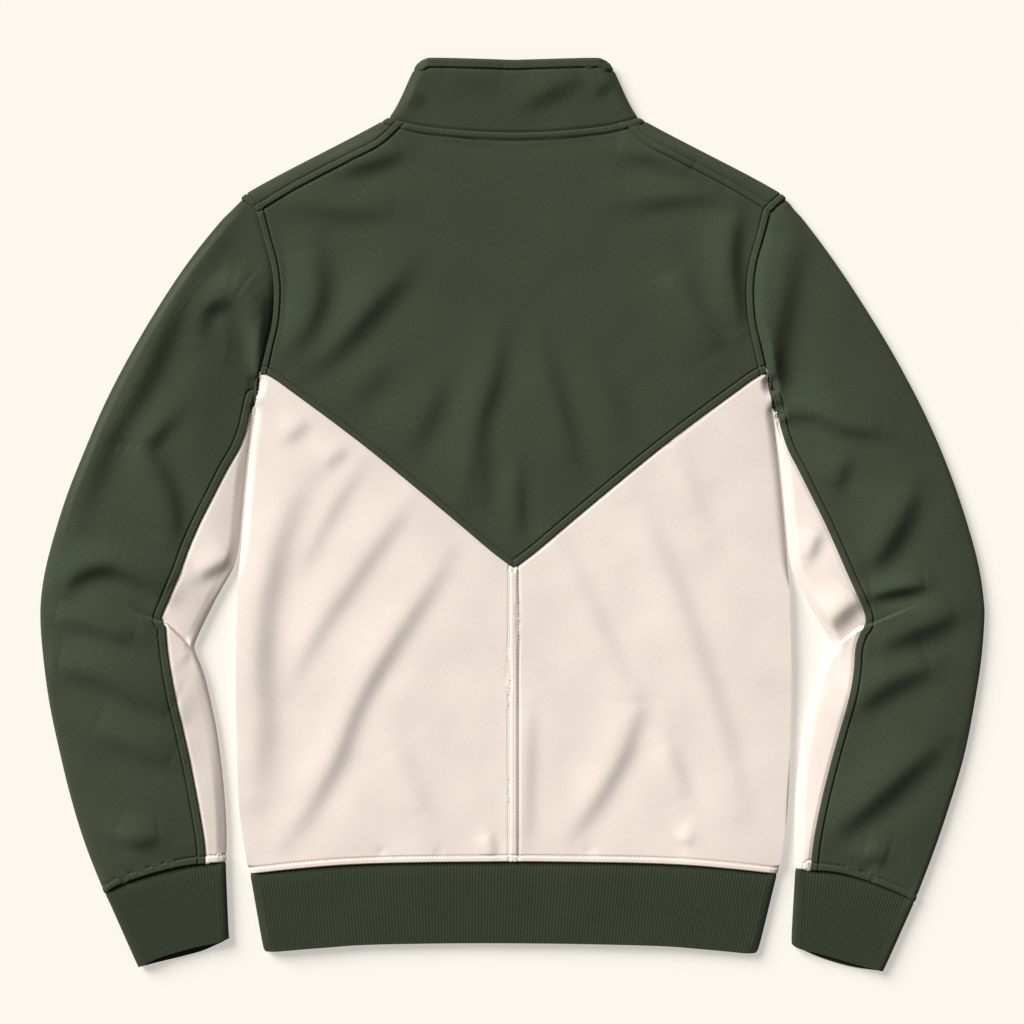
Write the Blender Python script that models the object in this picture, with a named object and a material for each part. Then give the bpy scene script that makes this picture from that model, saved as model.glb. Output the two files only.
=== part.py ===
"""Quarter-zip sweatshirt that lies flat and face down, so its back is up.

X runs across the garment, Y runs up its back to the collar, and Z is up from the surface it lies on.
Sizes are in millimetres until a mesh is made. The garment's centre line is X = 0 until CENTRE_SHIFT is added.
Every panel is a wall of knit: it is planned flat, as rows of points between its cut edges, and then raised
to its layer. The front layer is flat on the surface, the back layer lies on it in folds, and both roll round
into each other at the garment's outline.
"""

import bmesh
import bpy
import numpy as np

MM = 0.001

# ---------------------------------------------------------------- driving sizes
KNIT = 2.0  # wall of the smooth double knit
COLLAR_WALL = 2.4  # two layers of it, sewn through
RIB_WALL = 2.6  # doubled 1 x 1 rib
SEAM_GAP = 0.3
BODY_TOP = 7.4  # the back layer's outer face over a body that lies at rest
SLEEVE_RISE = 1.8  # how much higher a sleeve stands
COLLAR_RISE = 1.6
LEAST_AIR = 0.8  # between the two layers, at the bottom of a fold
BODY_MIDDLE = 3.5  # height of the outline, where the layers roll into each other
BODY_ROLL = 6.5  # width of that roll, seen from above
SLEEVE_ROLL_MORE = 1.5
TORSO_CLEARANCE = 0.8  # between a sleeve's inner edge and the side of the body
WELT_RISE = 0.5  # a seam allowance stitched down makes a low step
WELT_WIDTH = 6.5
RIB_PITCH = 2.8
RIB_RISE = 0.5
ZIP_OPENING = 5.0  # from the centre line to each cloth edge at the zip
CENTRE_SHIFT = 1.0  # puts the middle of the whole outline over the origin
LENGTH_SHIFT = 0.7

# Columns and rows close to a rolled edge, from that edge inwards.
ROLL_STEPS = (0, 1.0, 3.5, 7.5)
COARSE_STEPS = (0, 2.2, 7.5)

# ---------------------------------------------------------------- outline and seams, (x, y)
# Left half as seen from above; the body is the same on both sides.
ARMPIT = (-220.5, 123)
SHOULDER_TIP = (-238, 276)
NECK_POINT = (-109, 346)
YOKE_SHOULDER_END = (-223, 263)
YOKE_NECK_END = (-95, 341)
APEX = (0, -47)
SHOULDER_OUTLINE = [SHOULDER_TIP, (-227, 284.5), (-186, 306), (-151, 324), (-119, 340.5), NECK_POINT]
COLLAR_SIDE = [NECK_POINT, (-103, 354), (-99, 362), (-93, 376), (-87.5, 388), (-83, 394.5)]
SHOULDER_SEAM = [YOKE_SHOULDER_END, (-186, 285), (-151, 303), (-116, 321), YOKE_NECK_END]
NECK_SEAM_TO_SHOULDER = [NECK_POINT, (-103, 343.5), YOKE_NECK_END]
NECK_SEAM_BACK = [YOKE_NECK_END, (-81, 338), (-55, 335), (-29, 333), (0, 332.3)]
ARMHOLE_OVER_STRIP = [SHOULDER_TIP, (-230, 269.5), YOKE_SHOULDER_END]
ARMHOLE = [YOKE_SHOULDER_END, (-217, 240), (-211, 218), (-208.5, 196), (-210, 170), (-215, 147), ARMPIT]
V_SEAM = [ARMPIT, (-207, 116.5), (-137, 65), (-72, 12), (-12, -38.5), APEX]
BODY_SIDE = [
    ARMPIT,
    (-223.5, 104),
    (-228, 72),
    (-233, 25),
    (-237.5, -25),
    (-240, -70),
    (-241.5, -144),
    (-240.5, -200),
    (-239, -250),
    (-235, -285),
    (-230, -313),
]
HEM_SEAM = [(-230, -313), (-190, -308.5), (-147, -305), (-88, -303), (0, -302)]
FRONT_SEAM_Y = ARMPIT[1]
FRONT_NECK = [NECK_POINT, (-96, 333), (-72, 319), (-42, 309), (-ZIP_OPENING, 305)]
COLLAR_TOP = [(-83, 394.5), (-72, 396.8), (-36, 396), (0, 395)]
FRONT_COLLAR_TOP = [(-83, 394.5), (-60, 388), (-30, 376), (-ZIP_OPENING, 370)]

# A sleeve's sections down the upper arm: outer edge, the seam of its two panels, and how far down the inner edge
# lies against the body. The seam is at the inner edge until the under panel begins.
UPPER_ARM_COLUMNS = ("outer_x", "outer_y", "seam_x", "seam_y", "inner_y")
UPPER_ARM = {
    "left": [
        (-268, 242, None, None, 112),
        (-291, 211, None, None, 101),
        (-311, 180, -229, 90, 88),
        (-330, 148, -232.2, 76, 74),
        (-347, 117, -238.5, 58.5, 55),
        (-362, 86, -249, 39.5, 34),
        (-375, 54, -262, 14, 13),
        (-388, 23, -273, -8, -8),
        (-398, -8, -282, -29, -26),
    ],
    "right": [
        (265, 242, None, None, 112),
        (287, 211, None, None, 101),
        (307, 180, 229, 90, 88),
        (327, 148, 232.2, 76, 74),
        (344, 117, 238, 57.5, 55),
        (360, 86, 247.5, 38.5, 34),
        (374, 54, 259, 15, 13),
        (386, 23, 270, -7, -8),
        (396, -8, 279, -27, -26),
    ],
}
UNDER_PANEL_BEGINS = 3  # the section at which the under panel has its tip
# From where the inner edge leaves the body: over the elbow, with its tuck, and down the forearm to the cuff.
FOREARM_COLUMNS = ("outer_x", "outer_y", "seam_x", "seam_y", "inner_x", "inner_y")
FOREARM = {
    "left": [
        (-406, -36, -291, -54, -241.5, -44),
        (-410, -55, -299, -73, -251, -59),
        (-412, -69, -304, -84, -263, -81),
        (-412.8, -80, -307, -91, -277, -111),
        (-413, -86, -302, -97, -279, -117),
        (-412.5, -104, -301, -112, -270, -134),
        (-410, -128, -298, -134, -265, -156),
        (-405, -165, -292, -165, -258.5, -186),
        (-396, -207, -283, -205, -254, -219),
        (-386, -248, -275, -246, -251, -249),
        (-373, -290, -269, -283, -249.5, -277),
        (-356.5, -330.5, -268, -303.5, -250, -302.5),
    ],
    "right": [
        (404, -36, 288, -48, 240.5, -46),
        (408, -56, 296, -66, 250, -66),
        (410, -72, 302, -79, 263, -89),
        (411, -84, 308.5, -94, 277, -111),
        (410.8, -90, 301, -101, 279, -116),
        (410, -106, 297, -113, 270, -127),
        (408, -128, 295, -134, 265, -146),
        (402, -165, 290, -162, 256, -172),
        (394, -207, 279, -202, 249, -206),
        (382, -248, 268, -244, 245.5, -242),
        (367, -293, 260.5, -282, 244.5, -275),
        (349.5, -338, 258, -309.5, 244.8, -308.5),
    ],
}
ELBOW_SECTIONS = 4  # of the forearm's rows, those down to the upper side of the tuck
LONG_SECTIONS = 6  # the forearm's last rows lie far apart, so one more is put between each two

# Each cuff: its seam and its mouth from the outer to the inner side, and its two sides from seam to mouth.
CUFFS = {
    "left": {
        "seam": [(-356.5, -330.5), (-342, -322), (-316, -313), (-290, -306.5), (-268, -303.5), (-250, -302.5)],
        "mouth": [(-327, -394.5), (-308, -385.5), (-290, -380), (-273, -375.5), (-260, -373), (-247.5, -369)],
        "lower_mouth": [(-327, -394.5), (-300, -388), (-270, -380), (-247.5, -369)],
        "outer_side": [(-356.5, -330.5), (-351, -338), (-345, -351), (-340, -364), (-333, -385), (-327, -394.5)],
        "inner_side": [(-250, -302.5), (-252, -322), (-251, -340), (-249, -353), (-247.5, -369)],
    },
    "right": {
        "seam": [(349.5, -338), (341, -332.5), (314, -321), (284, -312), (258, -309.5), (244.8, -308.5)],
        "mouth": [(322, -398), (305, -393.5), (293, -390), (267, -382.5), (249, -378), (242, -374.5)],
        "lower_mouth": [(322, -398), (295, -394.5), (265, -385.5), (242, -374.5)],
        "outer_side": [(349.5, -338), (341, -355), (334, -374), (329, -388), (322, -398)],
        "inner_side": [(244.8, -308.5), (245, -327), (243, -353), (240.5, -367), (242, -374.5)],
    },
}
CUFF_TOP = 9.2
CUFF_MIDDLE = 4.6
CUFF_ROLL = 6.5
HEM_TOP = 8.4
HEM_MIDDLE = 4.2
HEM_SIDES = {
    "left": [(-230, -313), (-226, -340), (-222, -366), (-218, -378.5)],
    "right": [(230, -313), (223, -342), (218.5, -368), (213, -380)],
}
HEM_MOUTH = [(-218, -378.5), (-211, -380.5), (-167, -377), (-117, -374), (0, -373), (117, -375), (167, -378.5)]
HEM_MOUTH_END = [(205, -382), (213, -380)]

# ---------------------------------------------------------------- folds
# Each fold is a soft trough (rise below 0) or ridge along its points, with its half width and height.
FOLD_COLUMNS = ("points", "half_width", "rise")
YOKE_FOLDS = [
    ([(-168, 239), (-163, 204), (-168, 169), (-186, 143)], 10, -2.2),
    ([(-187, 225), (-184, 190), (-193, 155)], 10, 1.2),
    ([(-94, 200), (-129, 165), (-160, 139), (-180, 114)], 12, -1.9),
    ([(-112, 306), (-155, 289)], 9, -1.6),
    ([(-88, 248), (-165, 256)], 9, -0.9),
    ([(201, 269), (195, 230), (199, 190)], 9, -2.0),
    ([(178, 250), (178, 195)], 10, 1.2),
    ([(147, 222), (166, 183), (188, 139)], 10, -1.8),
    ([(112, 270), (188, 272)], 9, -1.3),
    ([(88, 319), (127, 306), (153, 298)], 9, -1.5),
    ([(-8, 140), (-12, 82), (-31, 10)], 9, -1.5),
    ([(-52, 120), (-66, 50)], 10, 1.0),
    ([(34, 140), (42, 100), (58, 34)], 10, -1.4),
    ([(12, 62), (12, -13)], 8, -1.1),
    ([(88, 110), (98, 62)], 12, -0.8),
    ([(-100, 120), (-112, 75)], 12, -0.8),
]
LOWER_BACK_FOLDS = [
    ([(-47, -20), (-73, -83), (-99, -118), (-134, -179), (-160, -240), (-195, -290)], 11, -2.6),
    ([(-75, -40), (-110, -100), (-160, -165), (-200, -262)], 12, 1.6),
    ([(-90, 4), (-125, -48), (-160, -109), (-180, -153)], 10, -1.5),
    ([(-186, 30), (-197, -15), (-204, -74), (-213, -127), (-217, -179)], 12, -1.9),
    ([(-142, 13), (-168, -57)], 10, -1.1),
    ([(-168, 84), (-190, 60)], 9, -1.4),
    ([(-99, -161), (-90, -222), (-64, -266)], 10, -1.1),
    ([(-14, -268), (-20, -296)], 7, -1.8),
    ([(110, 30), (136, -48), (162, -109), (184, -179), (206, -248)], 11, -1.7),
    ([(58, -22), (75, -74), (106, -135), (112, -161)], 11, -1.3),
    ([(112, -155), (101, -196), (75, -248), (51, -286)], 10, -2.5),
    ([(85, -100), (60, -200), (30, -280)], 14, 1.2),
    ([(132, -200), (149, -257), (140, -292)], 9, -1.7),
    ([(150, -40), (190, -150)], 13, 1.0),
    ([(17, -170), (17, -248), (9, -288)], 8, -1.3),
]
LEFT_SLEEVE_FOLDS = [
    ([(-245, 252), (-268, 217), (-295, 160), (-318, 117), (-342, 73), (-353, 38)], 11, -2.4),
    ([(-268, 160), (-260, 180), (-242, 171), (-229, 143), (-224, 113)], 9, -3.2),
    ([(-279, 178), (-258, 194), (-233, 180), (-222, 150)], 8, 1.8),
    ([(-295, 69), (-312, 56), (-299, 25), (-288, -5), (-290, -30)], 9, -1.9),
    ([(-330, 30), (-345, -20)], 14, 1.6),
    ([(-386, -67), (-377, -59), (-360, -54), (-334, -59), (-312, -73)], 8, -4.0),
    ([(-396, -60), (-380, -42), (-355, -36)], 9, 1.6),
    ([(-382, -98), (-351, -105), (-318, -116)], 9, -1.9),
    ([(-388, -140), (-360, -146), (-325, -166), (-300, -187)], 10, -2.7),
    ([(-385, -168), (-335, -195)], 14, 1.3),
    ([(-342, -200), (-303, -222)], 10, -1.0),
    ([(-353, -279), (-314, -287)], 10, -1.9),
    ([(-268, -35), (-258, -70)], 8, -1.4),
]
RIGHT_SLEEVE_FOLDS = [
    ([(249, 247), (233, 195), (226, 143), (233, 85)], 12, -3.4),
    ([(285, 190), (262, 120)], 16, 1.5),
    ([(236, 78), (275, 78), (327, 65)], 9, -2.3),
    ([(304, 50), (282, 20)], 10, -1.7),
    ([(356, 30), (345, -13), (312, -47)], 10, -2.8),
    ([(320, 20), (300, -20)], 11, 1.6),
    ([(360, -66), (328, -72), (308, -80)], 8, -4.0),
    ([(388, -87), (362, -105), (316, -114)], 10, -2.9),
    ([(368, -80), (335, -90)], 8, 1.6),
    ([(373, -135), (319, -153), (298, -179)], 10, -2.3),
    ([(380, -205), (336, -231), (301, -266), (278, -290)], 11, -2.7),
    ([(350, -190), (300, -225)], 13, 1.4),
    ([(265, -13), (259, -48), (271, -83)], 9, -1.4),
    ([(303, -74), (280, -102)], 9, -3.2),
    ([(280, -172), (266, -195)], 9, -1.3),
]
# The forearm rides up over the upper arm in a tuck at each elbow.
TUCKS = [
    [(-354, -62), (-338, -79), (-314, -89), (-304, -94), (-290, -107), (-278, -117)],
    [(345, -82), (322, -92), (307, -97), (296, -103), (279, -117)],
]
TUCK_RISE = 2.6
TUCK_LENGTH = 28
COLLAR_FOLDS = [
    ([(-66, 386), (-20, 378)], 9, -0.9),
    ([(40, 386), (5, 352)], 9, -1.0),
    ([(-94, 358), (-84, 352)], 6, 0.8),
]

# ---------------------------------------------------------------- zip, closed, on the hidden front
ZIP_TOP = 366.0
ZIP_BOTTOM = 125.0
CHAIN_WIDTH = 5.0
CHAIN_BOTTOM = 2.2
CHAIN_TOP = 3.8
TAPE_WIDTH = 12.0
TAPE_BOTTOM = 2.7
TAPE_TOP = 3.5
SLIDER_WIDTH = 8.4
SLIDER_LENGTH = 12.0
SLIDER_BOTTOM = 1.35
SLIDER_TOP = 4.9
SLIDER_PLATE = 0.55
SLIDER_BRIDGE = 2.6
LUG_INNER = 1.9
LUG_OUTER = 2.9
PIVOT_Y = ZIP_TOP - 9.0
PIVOT_Z = 0.6
TAB_BARREL = 0.42
TAB_LENGTH = 24.0
TAB_WIDTH = 5.4
TAB_THICKNESS = 0.7

# ---------------------------------------------------------------- colours
GREEN = (0.052, 0.066, 0.040)
RIB_GREEN = (0.043, 0.056, 0.034)
CREAM = (0.855, 0.780, 0.700)
GREEN_TAPE = (0.045, 0.058, 0.036)
METAL = (0.30, 0.31, 0.30)


# ---------------------------------------------------------------- curves in the plan
def mirrored(points):
    return [(-x, y) for x, y in points]


def curve_through(points, steps=8):
    """A smooth curve through the points, as a polyline."""
    path = np.array(points, float)
    guides = np.vstack([2 * path[0] - path[1], path, 2 * path[-1] - path[-2]])
    t = np.linspace(0, 1, steps, endpoint=False)[:, None]
    pieces = []
    for before, start, end, after in zip(guides, guides[1:], guides[2:], guides[3:]):
        bend = (end - before) * t + (2 * before - 5 * start + 4 * end - after) * t**2
        pieces.append(start + 0.5 * (bend + (3 * start - before - 3 * end + after) * t**3))
    return np.vstack(pieces + [path[-1:]])


def run_of(path):
    return np.concatenate([[0], np.cumsum(np.linalg.norm(np.diff(path, axis=0), axis=1))])


def along(path, distances):
    run = run_of(path)
    return np.stack([np.interp(distances, run, path[:, k]) for k in (0, 1)], axis=-1)


def spaced(length, cells, near_start=(0,), near_end=(0,)):
    """Distances along an edge, with closer ones at its ends, which are squeezed on an edge that is too short."""
    room = min(1, 0.5 * length / max(near_start[-1], near_end[-1], 1e-6))
    first = np.array(near_start) * room
    last = length - np.array(near_end)[::-1] * room
    return np.concatenate([first, np.linspace(first[-1], last[0], cells + 1)[1:-1], last])


def divided(path, cells, near_start=(0,), near_end=(0,)):
    return along(path, spaced(run_of(path)[-1], cells, near_start, near_end))


def joined(*paths):
    return np.vstack([paths[0]] + [path[1:] for path in paths[1:]])


def left_normals(path):
    """At each point of a path, the way to its left in the plan, where its cloth lies."""
    step = np.diff(path, axis=0)
    normal = np.stack([-step[:, 1], step[:, 0]], axis=1)
    normal /= np.linalg.norm(normal, axis=1)[:, None]
    turned = np.vstack([normal[:1], normal[:-1] + normal[1:], normal[-1:]])
    return turned / np.linalg.norm(turned, axis=1)[:, None]


def nearest_on(paths, points):
    """For each point, how far the nearest path is, and that path's way inwards."""
    flat = points.reshape(-1, 2)
    best = np.full(len(flat), np.inf)
    away = np.zeros_like(flat)
    index = np.arange(len(flat))
    for path in paths:
        start, step, normals = path[:-1], np.diff(path, axis=0), left_normals(path)
        part = np.einsum("psk,sk->ps", flat[:, None] - start, step) / (step**2).sum(axis=1)
        part = np.clip(part, 0, 1)
        gap = np.linalg.norm(flat[:, None] - start - step * part[..., None], axis=2)
        which = gap.argmin(axis=1)
        closest, share = gap[index, which], part[index, which][:, None]
        way = normals[which] * (1 - share) + normals[which + 1] * share
        nearer = closest < best
        best[nearer] = closest[nearer]
        away[nearer] = way[nearer]
    return best.reshape(points.shape[:-1]), away.reshape(points.shape)


def patch(bottom, top, left, right):
    """Points between four edges: bottom and top run from left to right, left and right from bottom to top."""
    across = (run_of(bottom) / run_of(bottom)[-1] + run_of(top) / run_of(top)[-1]) / 2
    up = (run_of(left) / run_of(left)[-1] + run_of(right) / run_of(right)[-1]) / 2
    s, t = across[None, :, None], up[:, None, None]
    corners = (1 - t) * ((1 - s) * bottom[0] + s * bottom[-1]) + t * ((1 - s) * top[0] + s * top[-1])
    return (1 - t) * bottom + t * top + (1 - s) * left[:, None] + s * right[:, None] - corners


def trimmed(plan, sides):
    """Moves the named sides of a plan inwards by half of the gap at a seam."""
    plan = plan.copy()
    moves = np.zeros_like(plan)
    edges = {"bottom": (0, slice(None)), "top": (-1, slice(None)), "left": (slice(None), 0), "right": (slice(None), -1)}
    inside = {"bottom": (1, slice(None)), "top": (-2, slice(None)), "left": (slice(None), 1), "right": (slice(None), -2)}
    for side in sides:
        line = plan[edges[side]]
        step = np.gradient(line, axis=0)
        normal = np.stack([-step[:, 1], step[:, 0]], axis=1)
        normal /= np.linalg.norm(normal, axis=1)[:, None]
        normal *= np.sign(np.sum(normal * (plan[inside[side]] - line)))
        moves[edges[side]] += normal * SEAM_GAP / 2
    return plan + moves


# ---------------------------------------------------------------- heights
def eased(value, low, high):
    t = np.clip((value - low) / (high - low), 0, 1)
    return t * t * (3 - 2 * t)


def sleeve_share(plan):
    return eased(np.abs(plan[..., 0]), 236, 286)


def collar_share(plan):
    return eased(plan[..., 1], 322, 350)


def middle_height(plan):
    return BODY_MIDDLE + 0.8 * sleeve_share(plan) + 0.7 * collar_share(plan)


def roll_width(plan):
    return BODY_ROLL + SLEEVE_ROLL_MORE * sleeve_share(plan)


def fold_relief(plan, folds):
    total = np.zeros(plan.shape[:-1])
    for points, half_width, rise in folds:
        path = curve_through(points)
        gap, _ = nearest_on([path], plan)
        total += rise * np.exp(-((gap / half_width) ** 2))
    return total


def tuck_relief(plan):
    """A step up from the upper arm to the forearm, which dies away down the forearm."""
    total = np.zeros(plan.shape[:-1])
    for points in TUCKS:
        path = curve_through(points)
        gap, _ = nearest_on([path], plan)
        below = plan[..., 1] < np.interp(plan[..., 0], *(path if path[0, 0] < path[-1, 0] else path[::-1]).T)
        total += TUCK_RISE * np.where(below, np.exp(-((gap / TUCK_LENGTH) ** 2)), -0.5 * np.exp(-((gap / 9) ** 2)))
        total += 0.25 * TUCK_RISE * np.where(below, -np.exp(-((gap / 2) ** 2)), np.exp(-((gap / 2) ** 2)))
    return total


def top_height(plan):
    """Height of the back layer's outer face."""
    rest = BODY_TOP + SLEEVE_RISE * sleeve_share(plan) + COLLAR_RISE * collar_share(plan)
    folds = YOKE_FOLDS + LOWER_BACK_FOLDS + LEFT_SLEEVE_FOLDS + RIGHT_SLEEVE_FOLDS + COLLAR_FOLDS
    height = rest + fold_relief(plan, folds) + tuck_relief(plan)
    over_zip = np.exp(-((plan[..., 0] / 24) ** 4)) * eased(plan[..., 1], 95, 125)
    least = 2 * KNIT + LEAST_AIR + (CHAIN_TOP - KNIT) * over_zip + collar_share(plan)
    return np.maximum(height, least)


def near_line(plan, line, width):
    gap, _ = nearest_on([line], plan)
    return 1 - eased(gap, width - 2.5, width + 0.5)


def along_rows(plan, turned_from):
    """At each point, the way along its row: towards the row's end, and from the given column on towards its start."""
    step = np.gradient(plan, axis=1)
    step /= np.linalg.norm(step, axis=2)[..., None]
    step[:, turned_from:] *= -1
    return step


def raise_back(plan, edges, wall=KNIT, split=0.0, extra=0.0, height=None, middle=None, roll=None, way=None):
    """Outer and inner points of the back layer. split is half of a seam's gap that runs round the outline."""
    height = top_height(plan) if height is None else height
    middle = middle_height(plan) if middle is None else middle
    roll = roll_width(plan) if roll is None else roll
    gap, away = nearest_on(edges, plan)
    away = away if way is None else way
    part = np.minimum(gap / roll, 1)
    round_up = np.sqrt(1 - (1 - part) ** 2)
    base = middle + split
    outer = np.dstack([plan, base + (height + extra - base) * round_up])
    moved = plan + away * (wall * (1 - part))[..., None]
    inner = np.dstack([moved, base + (height - wall - base) * round_up])
    return outer, inner


def raise_front(plan, edges, wall=KNIT, split=0.0, middle=None, roll=None, way=None):
    """Outer and inner points of the front layer, whose outer face rests on the surface."""
    middle = middle_height(plan) if middle is None else middle
    roll = roll_width(plan) if roll is None else roll
    gap, away = nearest_on(edges, plan)
    away = away if way is None else way
    part = np.minimum(gap / roll, 1)
    round_up = np.sqrt(1 - (1 - part) ** 2)
    base = middle - split
    outer = np.dstack([plan, base * (1 - round_up)])
    moved = plan + away * (wall * (1 - part))[..., None]
    inner = np.dstack([moved, base - (base - wall) * round_up])
    return outer, inner


# ---------------------------------------------------------------- meshes
def cloth_material(name, colour, roughness=0.9, metallic=0.0):
    material = bpy.data.materials.new(name)
    material.use_nodes = True
    shader = material.node_tree.nodes["Principled BSDF"]
    shader.inputs["Base Color"].default_value = (*colour, 1)
    shader.inputs["Roughness"].default_value = roughness
    shader.inputs["Metallic"].default_value = metallic
    material.diffuse_color = (*colour, 1)
    return material


def new_object(name, points, faces, material):
    mesh = bpy.data.meshes.new(name)
    shift = np.array([CENTRE_SHIFT, LENGTH_SHIFT, 0])
    mesh.from_pydata(((points + shift) * MM).tolist(), [], faces)
    shape = bmesh.new()
    shape.from_mesh(mesh)
    bmesh.ops.recalc_face_normals(shape, faces=shape.faces)
    shape.to_mesh(mesh)
    shape.free()
    mesh.materials.append(material)
    mesh.shade_smooth()
    mesh.set_sharp_from_angle(angle=0.6)
    obj = bpy.data.objects.new(name, mesh)
    bpy.context.collection.objects.link(obj)
    return obj


def wall_object(name, outer, inner, material, kept=None, ring=False):
    """A closed wall between two grids of points. The inner grid may keep only some of the outer one's columns."""
    rows, columns = outer.shape[:2]
    kept = list(range(columns)) if kept is None else kept
    inner = inner[:, kept]
    points = np.vstack([outer.reshape(-1, 3), inner.reshape(-1, 3)])

    def out(row, column):
        return row * columns + column % columns

    def back(row, place):
        return rows * columns + row * len(kept) + place % len(kept)

    last = columns if ring else columns - 1
    spans = list(zip(kept, kept[1:])) + ([(kept[-1], columns + kept[0])] if ring else [])
    faces = []
    for row in range(rows - 1):
        for column in range(last):
            faces.append((out(row, column), out(row, column + 1), out(row + 1, column + 1), out(row + 1, column)))
        for place in range(len(spans)):
            faces.append((back(row, place), back(row + 1, place), back(row + 1, place + 1), back(row, place + 1)))
        if not ring:
            for column, place in ((0, 0), (columns - 1, len(kept) - 1)):
                faces.append((out(row, column), out(row + 1, column), back(row + 1, place), back(row, place)))
    for row in (0, rows - 1):
        for place, (start, end) in enumerate(spans):
            outside = [out(row, column) for column in range(start, end + 1)]
            faces.append((*outside, back(row, place + 1), back(row, place)))
    return new_object(name, points, faces, material)


def box_object(name, low, high, material):
    x, y, z = (np.array(pair, float) for pair in zip(low, high))
    points = np.array([(a, b, c) for a in x for b in y for c in z])
    faces = [(0, 1, 3, 2), (4, 6, 7, 5), (0, 4, 5, 1), (2, 3, 7, 6), (0, 2, 6, 4), (1, 5, 7, 3)]
    return new_object(name, points, faces, material)


# ---------------------------------------------------------------- shared edges
def half_edges(side):
    """The body's cut edges on one side, as smooth polylines."""
    turn = mirrored if side == "right" else list
    edges = {
        "shoulder": SHOULDER_OUTLINE,
        "collar_side": COLLAR_SIDE,
        "shoulder_seam": SHOULDER_SEAM,
        "neck_to_shoulder": NECK_SEAM_TO_SHOULDER,
        "neck_back": NECK_SEAM_BACK,
        "armhole_strip": ARMHOLE_OVER_STRIP,
        "armhole": ARMHOLE,
        "v_seam": V_SEAM,
        "body_side": BODY_SIDE,
        "hem_seam": HEM_SEAM,
        "front_neck": FRONT_NECK,
        "collar_top": COLLAR_TOP,
        "front_collar_top": FRONT_COLLAR_TOP,
    }
    return {name: curve_through(turn(points)) for name, points in edges.items()}


def sleeve_sections(side):
    """Outer edge, panel seam and inner edge of a sleeve, one point each for every section from armhole to cuff."""
    sign = -1 if side == "left" else 1
    body_side = EDGES[side]["body_side"]
    outer = [(sign * -SHOULDER_TIP[0], SHOULDER_TIP[1])]
    seam = [(sign * -ARMPIT[0], ARMPIT[1])]
    inner = [(sign * -ARMPIT[0], ARMPIT[1])]
    for outer_x, outer_y, seam_x, seam_y, inner_y in UPPER_ARM[side]:
        body_x = np.interp(-inner_y, -body_side[:, 1], body_side[:, 0])
        edge = (body_x + sign * TORSO_CLEARANCE, inner_y)
        outer.append((outer_x, outer_y))
        inner.append(edge)
        seam.append(edge if seam_x is None else (seam_x, seam_y))
    for outer_x, outer_y, seam_x, seam_y, inner_x, inner_y in FOREARM[side]:
        outer.append((outer_x, outer_y))
        seam.append((seam_x, seam_y))
        inner.append((inner_x, inner_y))
    rows = len(outer)
    places = np.concatenate([np.arange(rows - LONG_SECTIONS), np.arange(rows - LONG_SECTIONS, rows - 0.75, 0.5)])
    steps = 8
    sections = {}
    for name, points in (("outer", outer), ("seam", seam), ("inner", inner)):
        fine = curve_through(points, steps)
        sections[name] = fine[np.round(places * steps).astype(int)]
    return sections


# ---------------------------------------------------------------- points that two pieces share
ARMHOLE_CELLS = 7
FRONT_ARMHOLE_CELLS = 6
SHOULDER_CELLS = 5
V_CELLS = 11
NECK_CELLS = V_CELLS - SHOULDER_CELLS
FRONT_CELLS = 5
LOWER_ROWS = 17


def armhole_points(side):
    return divided(EDGES[side]["armhole"], ARMHOLE_CELLS, (0, 7), ROLL_STEPS)


def armhole_strip_points(side):
    """Over the shoulder strip, from the outline to the shoulder seam."""
    return divided(EDGES[side]["armhole_strip"], 1, ROLL_STEPS, (0,))


def front_armhole_points(side):
    whole = joined(EDGES[side]["armhole_strip"], EDGES[side]["armhole"])
    return divided(whole, FRONT_ARMHOLE_CELLS, COARSE_STEPS, (0, COARSE_STEPS[-1]))


def shoulder_points(side, edge="shoulder_seam"):
    return divided(EDGES[side][edge], SHOULDER_CELLS, ROLL_STEPS, (0,))


def neck_side_points(side):
    return divided(EDGES[side]["neck_to_shoulder"], 1, ROLL_STEPS, (0,))


def neck_back_points(side):
    return divided(EDGES[side]["neck_back"], NECK_CELLS)


def front_neck_points(side):
    return divided(EDGES[side]["front_neck"], 3, COARSE_STEPS, (0,))


def v_points(side):
    return divided(EDGES[side]["v_seam"], V_CELLS, ROLL_STEPS, (0,))


def back_hem_points(side):
    return divided(EDGES[side]["hem_seam"], V_CELLS, ROLL_STEPS, (0,))


def front_hem_points(side):
    return divided(EDGES[side]["hem_seam"], FRONT_CELLS, COARSE_STEPS, (0,))


def across_body(points_of):
    return joined(points_of("left"), points_of("right")[::-1])


# ---------------------------------------------------------------- the body's panels
def make_back_yoke(material):
    tops = [joined(shoulder_points(side), neck_back_points(side)) for side in SIDES]
    plan = patch(
        across_body(v_points),
        joined(tops[0], tops[1][::-1]),
        armhole_points("left")[::-1],
        armhole_points("right")[::-1],
    )
    plan = trimmed(plan, ("bottom", "top", "left", "right"))
    welt = near_line(plan, across_body(v_points), WELT_WIDTH) + near_line(plan, across_body(neck_back_points), WELT_WIDTH)
    for side in SIDES:
        welt = welt + near_line(plan, EDGES[side]["armhole"], WELT_WIDTH)
    outer, inner = raise_back(plan, BODY_OUTLINES, extra=WELT_RISE * np.minimum(welt, 1))
    return wall_object("back_yoke", outer, inner, material)


def make_back_lower(side, material):
    edges = EDGES[side]
    near = (0, 6)
    body_side = divided(edges["body_side"][::-1], LOWER_ROWS - 2, near, near)
    centre = divided(np.array([edges["hem_seam"][-1], APEX], float), LOWER_ROWS - 2, near, near)
    plan = trimmed(patch(back_hem_points(side), v_points(side), body_side, centre), ("bottom", "top", "right"))
    welt = near_line(plan, edges["hem_seam"], 5.5)
    outer, inner = raise_back(plan, BODY_OUTLINES, split=SEAM_GAP / 2, extra=WELT_RISE * welt)
    return wall_object("back_lower_" + side, outer, inner, material)


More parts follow.
